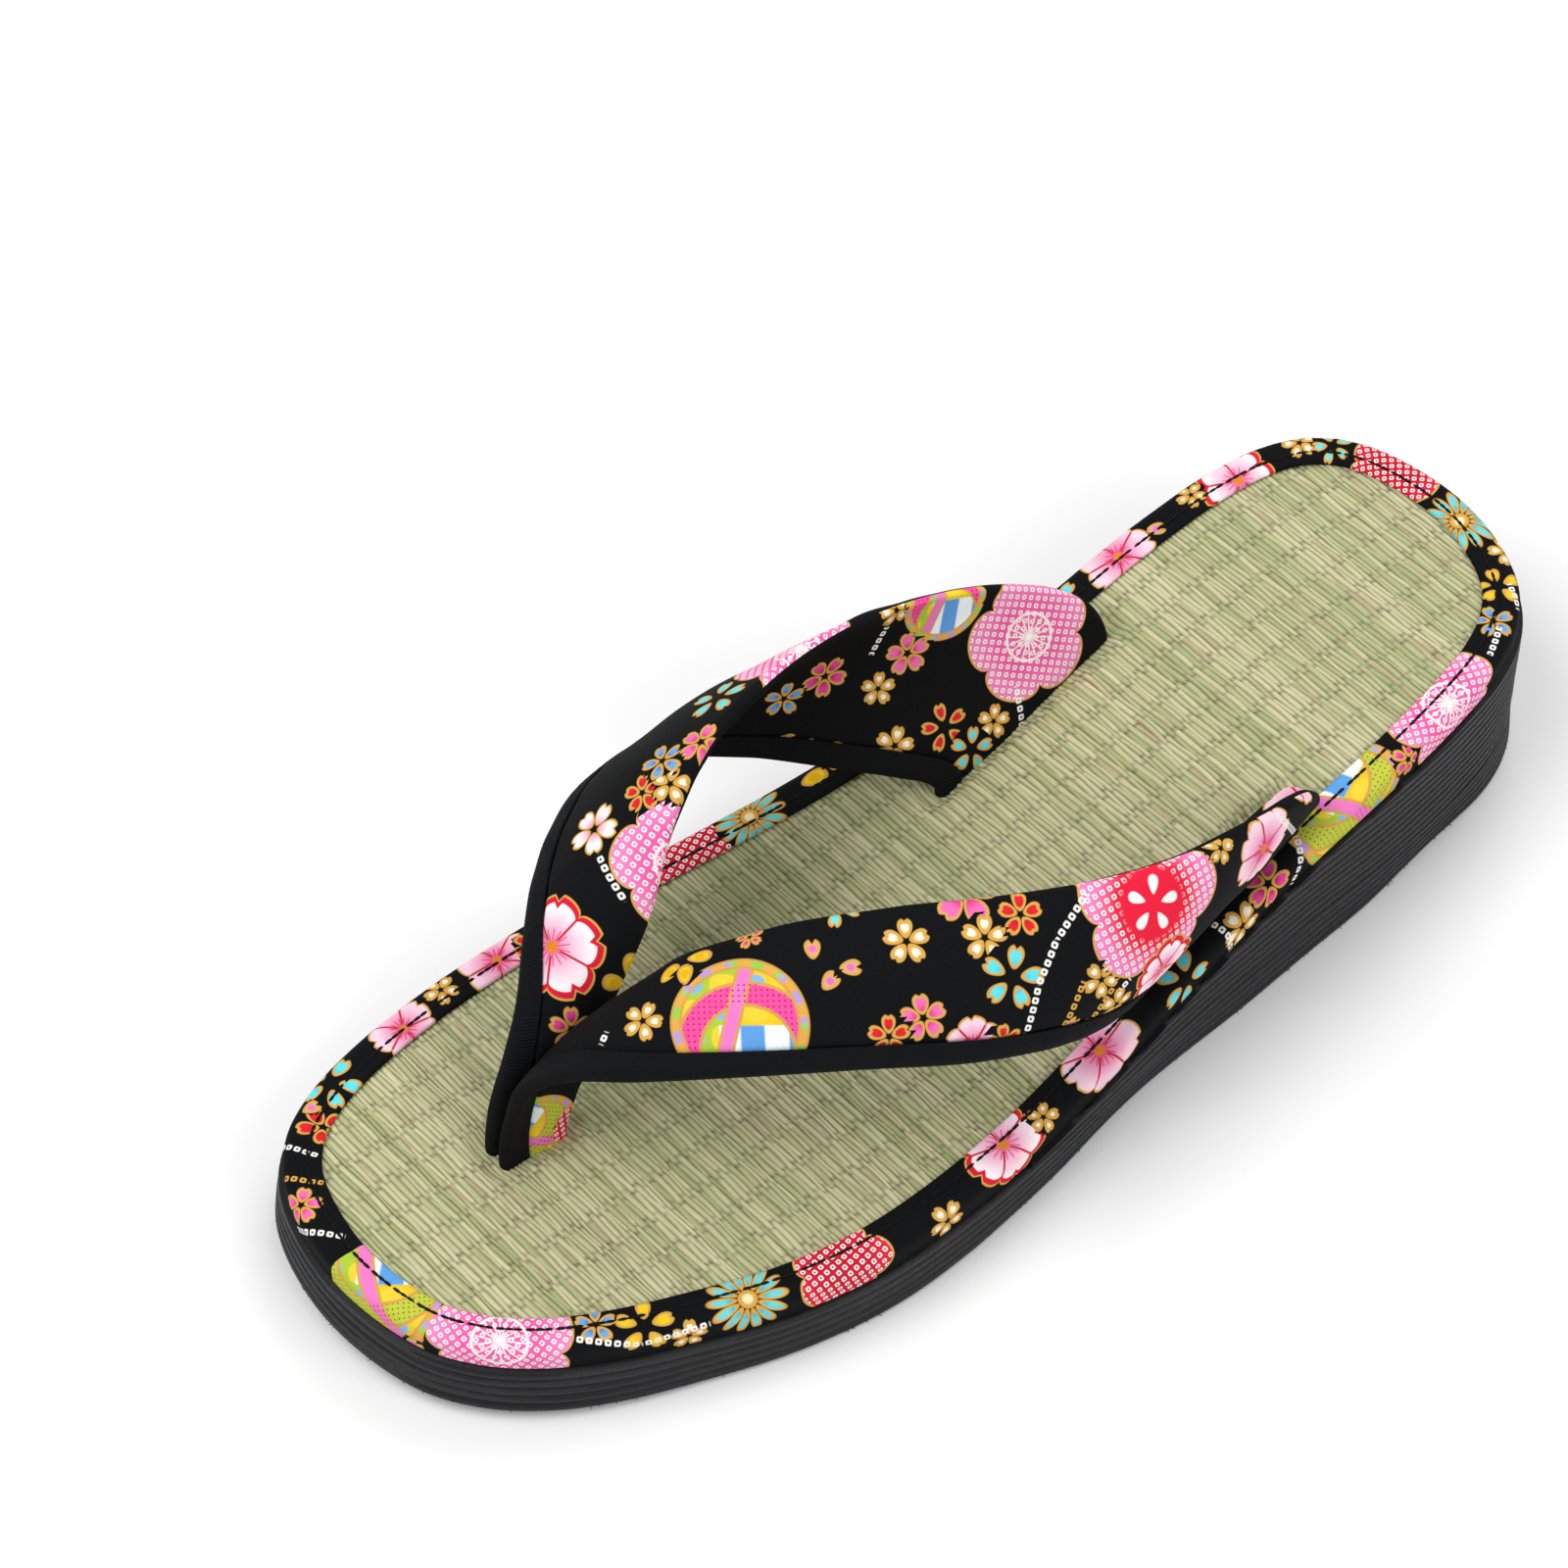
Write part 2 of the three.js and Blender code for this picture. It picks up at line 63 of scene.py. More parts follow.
Rgb = tuple[float, float, float]
Model = tuple[np.ndarray, list[tuple[int, ...]]]  # points and faces
MM = 0.001
RIB_PITCH = 1.96  # from one foam rib to the next, mm
WELD = 2e-6  # points closer than this become one, m
SHIFT = np.array([-4.9968, 0.41174, 0.0])  # from the last's own middle to the middle of the box, mm


# Numbers and curves


def srgb(text: str) -> Rgb:
    """Turn a colour as a dyer's chart writes it into the shader's linear values.

    Args:
        text: six hexadecimal digits, red first.

    Returns:
        Three linear values from 0 to 1.
    """
    parts = [int(text[i : i + 2], 16) / 255 for i in (0, 2, 4)]
    return tuple(p / 12.92 if p <= 0.04045 else ((p + 0.055) / 1.055) ** 2.4 for p in parts)


def smooth_table(table: tuple[tuple[float, float], ...], at: np.ndarray) -> np.ndarray:
    """Read a two-column table with a smooth curve through its rows.

    Args:
        table: rows of place and value, with rising places.
        at: the places wanted.

    Returns:
        The values there, held level beyond both ends.
    """
    x, v = np.array(table, float).T
    secant = np.diff(v) / np.diff(x)
    slope = np.concatenate([secant[:1], (secant[:-1] + secant[1:]) / 2, secant[-1:]])
    t = np.clip(np.asarray(at, float), x[0], x[-1])
    i = np.clip(np.searchsorted(x, t, side="right") - 1, 0, len(x) - 2)
    h = x[i + 1] - x[i]
    p = (t - x[i]) / h
    start = (1 + 2 * p) * (1 - p) ** 2 * v[i] + p * (1 - p) ** 2 * h * slope[i]
    return start + p * p * (3 - 2 * p) * v[i + 1] + p * p * (p - 1) * h * slope[i + 1]


def curve_through(points: np.ndarray, share: np.ndarray, closed: bool = False) -> np.ndarray:
    """Read a centripetal curve through points, evenly by row.

    Args:
        points: the rows, one point each.
        share: where to read it, from 0 to 1.
        closed: whether the last row leads back to the first.

    Returns:
        One point for each share.
    """
    count = len(points)
    spans = count if closed else count - 1
    along = np.asarray(share, float) * spans
    i = np.minimum(np.floor(along).astype(int), spans - 1)
    w = (along - i)[:, None]
    if closed:
        p0, p1, p2, p3 = (points[(i + k) % count] for k in (-1, 0, 1, 2))
    else:
        ends = np.vstack([2 * points[0] - points[1], points, 2 * points[-1] - points[-2]])
        p0, p1, p2, p3 = (ends[i + k] for k in (0, 1, 2, 3))
    pairs = ((p0, p1), (p1, p2), (p2, p3))
    step = [np.sqrt(np.linalg.norm(b - a, axis=1))[:, None] for a, b in pairs]
    before, here, after = (np.where(s < 1e-4, 1.0, s) for s in step)
    t1 = ((p1 - p0) / before - (p2 - p0) / (before + here) + (p2 - p1) / here) * here
    t2 = ((p2 - p1) / here - (p3 - p1) / (here + after) + (p3 - p2) / after) * here
    c2 = -3 * p1 + 3 * p2 - 2 * t1 - t2
    c3 = 2 * p1 - 2 * p2 + t1 + t2
    return p1 + t1 * w + c2 * w**2 + c3 * w**3


def unit(rows: np.ndarray) -> np.ndarray:
    """Each row scaled to length one."""
    return rows / np.maximum(np.linalg.norm(rows, axis=-1, keepdims=True), 1e-9)


def ripple(u: np.ndarray, v: np.ndarray, pitch: float, seed: int) -> np.ndarray:
    """Smooth unevenness over a surface.

    Args:
        u: first coordinate, mm.
        v: second coordinate, mm.
        pitch: typical distance between two crests, mm.
        seed: which of the many patterns.

    Returns:
        Values of about -1 to 1.
    """
    waves, shortest, longest, highest = 7, 0.7, 1.6, 3.2
    draw = np.random.default_rng(seed)
    total = np.zeros(np.broadcast(u, v).shape)
    for _ in range(waves):
        turn, phase = draw.uniform(0, 2 * np.pi, 2)
        wave = 2 * np.pi / (pitch * draw.uniform(shortest, longest))
        total = total + np.sin((u * np.cos(turn) + v * np.sin(turn)) * wave + phase)
    return total / highest


def falloff(distance: np.ndarray, width: float) -> np.ndarray:
    """A bell of height one and the given half width."""
    return np.exp(-((distance / width) ** 2))


# Shader maths


class Num:
    """A number in a material, which adds Math nodes as it is used in an expression."""

    def __init__(self, board: "Board", socket: bpy.types.NodeSocket) -> None:
        """Keep the socket and the material that it belongs to."""
        self.board = board
        self.socket = socket

    def _math(self, operation: str, *others: "Num | float", clamp: bool = False) -> "Num":
        """Add one Math node on this number and the others.

        Args:
            operation: the node's operation.
            others: its further numbers.
            clamp: whether the result is held from 0 to 1.

        Returns:
            The node's result.
        """
        values = {0: self.socket}
        for k, other in enumerate(others, 1):
            values[k] = other.socket if isinstance(other, Num) else other
        settings = {"operation": operation, "use_clamp": clamp}
        return Num(self.board, self.board.node("ShaderNodeMath", settings, values).outputs[0])

    def __add__(self, other: "Num | float") -> "Num":
        """Sum."""
        return self._math("ADD", other)

    def __sub__(self, other: "Num | float") -> "Num":
        """Difference."""
        return self._math("SUBTRACT", other)

    def __mul__(self, other: "Num | float") -> "Num":
        """Product."""
        return self._math("MULTIPLY", other)

    def __truediv__(self, other: "Num | float") -> "Num":
        """Quotient."""
        return self._math("DIVIDE", other)

    def __radd__(self, other: float) -> "Num":
        """Sum with a plain number on the left."""
        return self._math("ADD", other)

    def __rmul__(self, other: float) -> "Num":
        """Product with a plain number on the left."""
        return self._math("MULTIPLY", other)

    def __rsub__(self, other: float) -> "Num":
        """A plain number less this one."""
        return self._math("MULTIPLY_ADD", -1.0, other)

    def of(self, operation: str, *others: "Num | float") -> "Num":
        """Any other Math operation by its name."""
        return self._math(operation, *others)

    def clamped(self) -> "Num":
        """Held between 0 and 1."""
        return self._math("ADD", 0.0, clamp=True)

    def above(self, limit: "Num | float", soft: float) -> "Num":
        """0 below a limit and 1 above it, with a soft edge.

        Args:
            limit: the number to pass.
            soft: width of the edge.

        Returns:
            The mask.
        """
        return ((self - limit) * (1 / soft) + 0.5).clamped()

    def below(self, limit: "Num | float", soft: float) -> "Num":
        """1 below a limit and 0 above it, with a soft edge."""
        return 1 - self.above(limit, soft)

    def least(self, other: "Num | float") -> "Num":
        """The smaller of the two."""
        return self._math("MINIMUM", other)

    def most(self, other: "Num | float") -> "Num":
        """The larger of the two."""
        return self._math("MAXIMUM", other)

    def size(self) -> "Num":
        """The number without its sign."""
        return self._math("ABSOLUTE")

    def cell(self, pitch: "Num | float") -> "Num":
        """Distance from the nearest multiple of a pitch, with its sign."""
        share = self / pitch + 0.5
        return (share.of("FRACT") - 0.5) * pitch


class Board:
    """One procedural material while it is being put together."""

    def __init__(self, name: str) -> None:
        """Start a material with its Principled shader.

        Args:
            name: name of the material.
        """
        self.material = bpy.data.materials.new(name)
        self.material.use_nodes = True
        self.tree = self.material.node_tree
        self.shader = self.tree.nodes["Principled BSDF"]

    def node(
        self, kind: str, settings: dict | None = None, values: dict | None = None
    ) -> bpy.types.Node:
        """Add a node.

        Args:
            kind: the node's type.
            settings: its properties, set first.
            values: numbers, colours (also as six digits) or links, by socket name or place.

        Returns:
            The node.
        """
        made = self.tree.nodes.new(kind)
        for key, value in (settings or {}).items():
            setattr(made, key, value)
        for key, value in (values or {}).items():
            socket = self._socket(made, key)
            self._fill(socket, value)
        return made

    @staticmethod
    def _socket(made: bpy.types.Node, key: str | int) -> bpy.types.NodeSocket:
        """Find an input by its place, identifier or name.

        Args:
            made: the node.
            key: place, identifier or name of the input.

        Returns:
            The input.
        """
        if isinstance(key, int):
            return made.inputs[key]
        known = {socket.identifier: socket for socket in made.inputs}
        return known[key] if key in known else made.inputs[key]

    def _fill(self, socket: bpy.types.NodeSocket, value: object) -> None:
        """Link a socket to a number or colour made earlier, or set it.

        Args:
            socket: the input to fill.
            value: a number, a colour, its six digits or a link.
        """
        if isinstance(value, Num):
            value = value.socket
        if isinstance(value, bpy.types.NodeSocket):
            self.tree.links.new(value, socket)
        elif isinstance(value, str):
            socket.default_value = (*srgb(value), 1.0)
        else:
            socket.default_value = value

    def mix(
        self, factor: Num | float, first: object, second: object, blend: str = "MIX"
    ) -> bpy.types.NodeSocket:
        """Mix two colours.

        Args:
            factor: 0 for the first, 1 for the second.
            first: a colour or a colour socket.
            second: a colour or a colour socket.
            blend: how the second goes over the first.

        Returns:
            The mixed colour's socket.
        """
        settings = {"data_type": "RGBA", "blend_type": blend}
        values = {"Factor_Float": factor, "A_Color": first, "B_Color": second}
        made = self.node("ShaderNodeMix", settings, values)
        return next(s for s in made.outputs if s.identifier == "Result_Color")

    def paint(self, colour: object, *coats: tuple[Num | float, object]) -> bpy.types.NodeSocket:
        """Mix coats over a colour, each a factor and a colour, one after another.

        Args:
            colour: the colour below.
            coats: factor and colour of each coat.

        Returns:
            The painted colour's socket.
        """
        for factor, coat in coats:
            colour = self.mix(factor, colour, coat)
        return colour

    def shade(self, colour: object, amount: Num) -> bpy.types.NodeSocket:
        """Multiply a colour by a number."""
        return self.mix(1.0, colour, self.vector(amount, amount, amount), "MULTIPLY")

    def split(self, vector: bpy.types.NodeSocket) -> tuple[Num, Num, Num]:
        """The three numbers of a vector."""
        made = self.node("ShaderNodeSeparateXYZ", None, {0: vector})
        return tuple(Num(self, s) for s in made.outputs)

    def layer(self, name: str) -> tuple[Num, Num, Num]:
        """The coordinates of one of the piece's UV maps."""
        return self.split(self.node("ShaderNodeUVMap", {"uv_map": name}).outputs[0])

    def attribute(self, name: str) -> bpy.types.NodeSocket:
        """An attribute of the piece, as a colour or vector."""
        return self.node("ShaderNodeAttribute", {"attribute_name": name}).outputs["Color"]

    def place(self) -> bpy.types.NodeSocket:
        """The object's own coordinates."""
        return self.node("ShaderNodeTexCoord").outputs["Object"]

    def vector(self, x: Num | float, y: Num | float, z: Num | float) -> bpy.types.NodeSocket:
        """A vector from three numbers."""
        return self.node("ShaderNodeCombineXYZ", None, {0: x, 1: y, 2: z}).outputs[0]

    def noise(self, at: bpy.types.NodeSocket, scale: float, detail: float = 3.0) -> Num:
        """Fractal noise of about 0 to 1.

        Args:
            at: coordinates.
            scale: crests per unit of the coordinates.
            detail: number of octaves.

        Returns:
            The noise.
        """
        values = {"Vector": at, "Scale": scale, "Detail": detail}
        return Num(self, self.node("ShaderNodeTexNoise", None, values).outputs[0])

    def finish(
        self, colour: object, roughness: Num | float, height: Num | None = None,
        depth: float = 0.0, shine: float = 0.5,
    ) -> bpy.types.Material:
        """Connect the shader.

        Args:
            colour: base colour or its socket.
            roughness: roughness or its number.
            height: height of the fine relief in mm, or None.
            depth: how strongly the relief is drawn.
            shine: the shader's specular level.

        Returns:
            The finished material.
        """
        inputs = self.shader.inputs
        self._fill(inputs["Base Color"], colour)
        self._fill(inputs["Roughness"], roughness)
        inputs["Specular IOR Level"].default_value = shine
        if height is not None:
            values = {"Strength": depth, "Distance": MM, "Height": height}
            self._fill(inputs["Normal"], self.node("ShaderNodeBump", None, values).outputs[0])
        return self.material


# Making pieces


class Workbench:
    """The steps that every piece goes through."""

    @staticmethod
    def clear() -> None:
        """Deselect everything."""
        for thing in bpy.context.view_layer.objects:
            thing.select_set(False)

    @classmethod
    def pick(cls, piece: bpy.types.Object) -> None:
        """Make one piece the selected and active one.

        Args:
            piece: the piece.
        """
        cls.clear()
        piece.select_set(True)
        bpy.context.view_layer.objects.active = piece

    @classmethod
    def lofted(
        cls, name: str, points: np.ndarray, charts: dict[str, np.ndarray], caps: bool = False
    ) -> bpy.types.Object:
        """Lay a grid over rows of sections and close it into a skin.

        Args:
            name: name of the piece.
            points: rows by columns of points, mm, with closing rows or columns repeated.
            charts: flat coordinates for the same points, by UV map name.
            caps: whether open ends are closed with a face.

        Returns:
            The piece, with doubles merged and its faces turned outwards.
        """
        rows, columns = points.shape[:2]
        cls.clear()
        bpy.ops.mesh.primitive_grid_add(
            x_subdivisions=columns - 1, y_subdivisions=rows - 1, size=2.0, calc_uvs=False
        )
        piece = bpy.context.active_object
        piece.name = name
        piece.data.name = name
        mesh = piece.data
        flat = np.zeros(len(mesh.vertices) * 3)
        mesh.vertices.foreach_get("co", flat)
        flat = flat.reshape(-1, 3)
        column = np.rint((flat[:, 0] + 1) / 2 * (columns - 1)).astype(int)
        row = np.rint((flat[:, 1] + 1) / 2 * (rows - 1)).astype(int)
        placed = (points[row, column] + SHIFT) * MM
        mesh.vertices.foreach_set("co", placed.astype(np.float32).ravel())
        corner = np.zeros(len(mesh.loops), int)
        mesh.loops.foreach_get("vertex_index", corner)
        for chart, values in charts.items():
            made = mesh.uv_layers.new(name=chart)
            laid = values[row[corner], column[corner]]
            made.data.foreach_set("uv", laid.astype(np.float32).ravel())
        mesh.update()
        steps = [
            (bpy.ops.mesh.remove_doubles, {"threshold": WELD}),
            (bpy.ops.mesh.dissolve_degenerate, {"threshold": WELD}),
            (bpy.ops.mesh.normals_make_consistent, {"inside": False}),
        ]
        if caps:
            steps.insert(2, (bpy.ops.mesh.fill_holes, {"sides": 0}))
        cls.pick(piece)
        bpy.ops.object.mode_set(mode="EDIT")
        for step, options in steps:
            bpy.ops.mesh.select_all(action="SELECT")
            step(**options)
        bpy.ops.object.mode_set(mode="OBJECT")
        cls.settle(piece)
        return piece

    @classmethod
    def settle(cls, piece: bpy.types.Object, angle: float = 40.0) -> None:
        """Leave a piece at the origin, unturned and unscaled, with smooth faces up to an angle.

        Args:
            piece: the piece.
            angle: edges sharper than this, in degrees, stay sharp.
        """
        cls.pick(piece)
        bpy.ops.object.transform_apply(location=True, rotation=True, scale=True)
        bpy.ops.object.shade_smooth_by_angle(angle=math.radians(angle))
        cls.clear()

    @staticmethod
    def take_model() -> Model:
        """Take the points and faces of the active object, and remove it.

        Returns:
            Its points and faces.
        """
        made = bpy.context.active_object
        points = np.array([v.co[:] for v in made.data.vertices])
        faces = [tuple(p.vertices) for p in made.data.polygons]
        bpy.data.objects.remove(made)
        return points, faces

    @classmethod
    def ball(cls, segments: int, rings: int) -> Model:
        """Model a small ball of radius one, to be copied.

        Args:
            segments: faces round it.
            rings: faces from pole to pole.

        Returns:
            Its points and faces.
        """
        cls.clear()
        bpy.ops.mesh.primitive_uv_sphere_add(segments=segments, ring_count=rings, radius=1.0)
        return cls.take_model()

    @classmethod
    def copies(
        cls, name: str, model: Model, places: np.ndarray, axes: np.ndarray
    ) -> bpy.types.Object:
        """Join many copies of one small model into a piece.

        Args:
            name: name of the piece.
            model: points and faces of the model.
            places: middle of each copy, mm.
            axes: for each copy, the three half sizes as vectors, mm.

        Returns:
            The joined piece.
        """
        points, faces = model
        spots = np.einsum("pk,nkc->npc", points, np.array(axes)) + np.array(places)[:, None, :]
        firsts = range(0, len(places) * len(points), len(points))
        joined = [tuple(v + first for v in face) for first in firsts for face in faces]
        mesh = bpy.data.meshes.new(name)
        mesh.from_pydata(((spots.reshape(-1, 3) + SHIFT) * MM).tolist(), [], joined)
        piece = bpy.data.objects.new(name, mesh)
        bpy.context.scene.collection.objects.link(piece)
        cls.pick(piece)
        bpy.ops.object.mode_set(mode="EDIT")
        bpy.ops.mesh.select_all(action="SELECT")
        bpy.ops.mesh.normals_make_consistent(inside=False)
        bpy.ops.object.mode_set(mode="OBJECT")
        cls.settle(piece, 60.0)
        return piece

    @staticmethod
    def hand_over(piece: bpy.types.Object, material: bpy.types.Material, slot: str) -> None:
        """Give a piece its material and its body, and report it.

        Args:
            piece: the piece.
            material: its finish.
            slot: the record's name for the finish; not used.
        """
        piece.data.materials.clear()
        piece.data.materials.append(material)
        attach(piece, "root")
        LOG.info("%s: %d faces", piece.name, len(piece.data.polygons))


def face_centres(
    mesh: bpy.types.Mesh, chart: str
) -> tuple[np.ndarray, np.ndarray, np.ndarray]:
    """Flat coordinates of a mesh's faces and corners.

    Args:
        mesh: the mesh.
        chart: name of the UV map.

    Returns:
        The middle of each face, every corner, and the face that each corner belongs to.
    """
    uv = np.zeros(len(mesh.loops) * 2)
    mesh.uv_layers[chart].data.foreach_get("uv", uv)
    uv = uv.reshape(-1, 2)
    total = np.zeros(len(mesh.polygons), int)
    mesh.polygons.foreach_get("loop_total", total)
    owner = np.repeat(np.arange(len(total)), total)
    middle = np.zeros((len(total), 2))
    np.add.at(middle, owner, uv)
    return middle / total[:, None], uv, owner


# The last: outline and heights


@dataclass(frozen=True)
class Last:
    """Outline of the footbed from above and its heights from the side, mm."""

    # y, x of the inner side, x of the outer side
    plan: tuple[tuple[float, float, float], ...] = (
        (-118.0, -21.8, 14.6), (-112.0, -29.9, 23.8), (-104.0, -34.7, 30.7), (-94.0, -37.8, 36.4),
        (-82.0, -39.8, 41.5), (-66.0, -40.8, 47.3), (-50.0, -40.4, 50.5), (-34.0, -39.1, 50.9),
        (-16.0, -36.7, 49.6), (4.0, -33.7, 46.8), (26.0, -31.2, 43.8), (50.0, -29.6, 41.7),
        (72.0, -29.7, 40.4), (90.0, -29.3, 38.0), (101.0, -27.7, 35.2), (109.0, -24.3, 31.2),
        (115.0, -18.6, 25.4), (119.0, -9.8, 16.8),
    )
    toe: tuple[float, float] = (-3.9, -121.4)
    heel: tuple[float, float] = (3.6, 121.0)
    # y, rise above the height at the ball of the foot
    climb: tuple[tuple[float, float], ...] = (
        (-60, 0.0), (-32, 0.1), (-12, 1.3), (10, 4.5), (30, 9.2), (50, 14.8), (70, 19.0),
        (90, 21.3), (125, 22.4),
    )
    # y, how far the foot of the foam stands out beyond its top
    flare: tuple[tuple[float, float], ...] = (
        (-126, 1.6), (-100, 1.4), (-70, 0.6), (-35, 0.3), (-12, -0.5), (8, -1.2), (40, 0.3),
        (64, -0.2), (86, -1.1), (104, 0.2), (126, 1.4),
    )
    spring_start: float = -50.0
    spring_height: float = 3.4
    foam: float = 9.8
    gap: float = 0.3
    board: float = 4.2
    binding: float = 6.7
    proud: float = 0.9
    samples: int = 12000

    def spring(self, y: np.ndarray) -> np.ndarray:
        """Rise of the toe at y."""
        ahead = np.maximum(0, self.spring_start - y) / (self.spring_start - self.toe[1])
        return self.spring_height * ahead**2

    def rest(self, y: np.ndarray) -> np.ndarray:
        """Height of the rush surface at y."""
        level = self.foam + self.gap + self.board
        return level + self.spring(y) + np.maximum(0, smooth_table(self.climb, y))

    def outline(self, count: int, inset: float = 0.0) -> tuple[np.ndarray, np.ndarray, np.ndarray]:
        """Walk round the footbed at even steps, from the toe along the outer side.

        Args:
            count: number of steps.
            inset: how far inside the outline to walk.

        Returns:
            Points, outward directions and distances walked along the outline.
        """
        rows = np.array(self.plan)
        outer = rows[:, [2, 0]]
        inner = rows[::-1][:, [1, 0]]
        ring = np.vstack([[self.toe], outer, [self.heel], inner])
        dense = curve_through(ring, np.arange(self.samples) / self.samples, closed=True)
        step = np.linalg.norm(np.roll(dense, -1, 0) - dense, axis=1)
        walked = np.concatenate([[0], np.cumsum(step)])
        wanted = np.arange(count) / count * walked[-1]
        around = np.vstack([dense, dense[:1]])
        points = np.stack([np.interp(wanted, walked, around[:, k]) for k in (0, 1)], 1)
        along = unit(np.roll(points, -1, 0) - np.roll(points, 1, 0))
        out = np.stack([along[:, 1], -along[:, 0]], 1)
        return points - out * inset, out, wanted


LAST = Last()


# Foam


@dataclass
class FoamSole:
    """The flat ribbed foam layer and the ribbed heel wedge glued on it; lengths in mm."""

    last: Last = LAST
    columns: int = 420
    pitch: float = RIB_PITCH
    ribs: int = 5
    wedge_ribs: int = 11
    groove: float = 0.7
    # shares of a rib's height, and shares of the groove's depth there
    rib: tuple[tuple[float, float], ...] = (
        (0.0, -1.0), (0.09, -0.55), (0.2, -0.12), (0.5, 0.0), (0.8, -0.12), (0.91, -0.55),
    )
    rough: float = 0.05
    rough_pitch: float = 26.0
    rim: float = 3.0
    top_rim: float = 6.0
    least_wedge: float = 0.5
    row_gap: float = 0.004
    middle: tuple[float, float, float] = (4.9, 0.0, 0.0)
    tread_depth: float = 0.7
    tread_pitch: float = 3.4
    tread_width: float = 1.9
    tread_sides: float = 0.7
    burrs: int = 420

    def _profile(self, bottom: float, ribs: int) -> tuple[np.ndarray, np.ndarray]:
        """Side of a stack of ribs.

        Args:
            bottom: height of its foot.
            ribs: number of ribs.

        Returns:
            How far out and how high each point of the profile is.
        """
        share, out = np.array(self.rib).T
        out = out * self.groove
        z = np.concatenate([bottom + (k + share) * self.pitch for k in range(ribs)])
        top = bottom + ribs * self.pitch
        return np.append(np.tile(out, ribs), -self.groove), np.append(z, top)

    def _wall(self, out: np.ndarray, z: np.ndarray, lift: np.ndarray) -> np.ndarray:
        """Rows of points up the side, all round.

        Args:
            out: profile, outwards.
            z: profile, upwards.
            lift: rise of each column.

        Returns:
            Rows by columns of points.
        """
        flat, normal, walked = self.last.outline(self.columns)
        flare = smooth_table(self.last.flare, flat[:, 1])
        rows = []
        for k, (o, level) in enumerate(zip(out, z)):
            lean = flare * max(0.0, 1 - level / self.last.foam)
            row = np.full_like(walked, 9.0 * k)
            rough = self.rough * ripple(walked, row, self.rough_pitch, 3)
            place = flat + normal * (self.last.proud + o + lean + rough)[:, None]
            rows.append(np.column_stack([place, level + lift]))
        rows = np.stack(rows)
        return np.concatenate([rows, rows[:, :1]], 1)

    def _caps(self, wall: np.ndarray) -> np.ndarray:
        """Add the flat ends of a wall: a rim and the set-back field under it, and a top.

        Args:
            wall: rows up the side.

        Returns:
            The wall with the rows of its ends.
        """
        normal = self.last.outline(self.columns)[1]
        inwards = np.column_stack([-normal, np.zeros(self.columns)])
        inwards = np.vstack([inwards, inwards[:1]])
        low = wall[0] + inwards * self.rim
        back = low + [0, 0, self.tread_depth]
        high = wall[-1] + inwards * self.top_rim
        return np.concatenate([back[None], low[None], wall, high[None]])

    def build(self, material: bpy.types.Material) -> None:
        """Build both layers, the tread and the torn edge.

        Args:
            material: the foam's finish.
        """
        lift = self.last.spring(self.last.outline(self.columns)[0][:, 1])
        skin = self._caps(self._wall(*self._profile(0.0, self.ribs), lift))
        step = np.linalg.norm(np.diff(skin[2], axis=0), axis=1)
        walked = np.concatenate([[0], np.cumsum(step)])
        height = skin[:, :, 2] - np.append(lift, lift[0])
        self._layer("foam_outsole", "outsole", skin, walked, height, material)
        self._wedge(material)
        self._tread(material)
        self._burrs(material)

    @staticmethod
    def _layer(
        name: str, node: str, skin: np.ndarray, walked: np.ndarray, height: np.ndarray,
        material: bpy.types.Material,
    ) -> None:
        """Build one layer of foam.

        Args:
            name: name of the piece.
            node: the solid that it stands for.
            skin: rows by columns of points.
            walked: distance round of each column.
            height: height of each point above the foot of the ribs.
            material: the foam's finish.
        """
        chart = np.stack([np.broadcast_to(walked, height.shape), height], -1)
        piece = Workbench.lofted(name, skin, {"side": chart}, caps=True)
        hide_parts(node)
        Workbench.hand_over(piece, material, "foam")

    def _wedge(self, material: bpy.types.Material) -> None:
        """The wedge, cut to the slope of the footbed's underside.

        Args:
            material: the foam's finish.
        """
        last = self.last
        bottom = last.foam + last.gap
        flat, normal, walked = last.outline(int(self.columns * 1.4))
        top = last.rest(flat[:, 1]) - last.board - last.gap
        behind = flat[:, 1] > last.climb[1][0]
        keep = np.nonzero((top > bottom + self.least_wedge) & behind)[0]
        out, z = self._profile(bottom, self.wedge_ribs)
        flat, normal, top, walked = flat[keep], normal[keep], top[keep], walked[keep]
        rows = []
        for k, level in enumerate(z):
            height = np.minimum(level, top - self.row_gap * (len(z) - 1 - k))
            height = np.maximum(height, bottom + self.row_gap * k)
            rough = self.rough * ripple(walked, height * 4.0, self.rough_pitch, 3)
            reach = last.proud + np.interp(height, z, out) + rough
            rows.append(np.column_stack([flat + normal * reach[:, None], height]))
        wall = np.stack(rows)
        low, high = (row * [0, 1, 1] + np.array(self.middle) for row in (wall[0], wall[-1]))
        skin = np.concatenate([low[None], wall, high[None]])
        height = skin[:, :, 2] - last.gap
        self._layer("foam_heel_wedge", "heel_wedge", skin, walked, height, material)

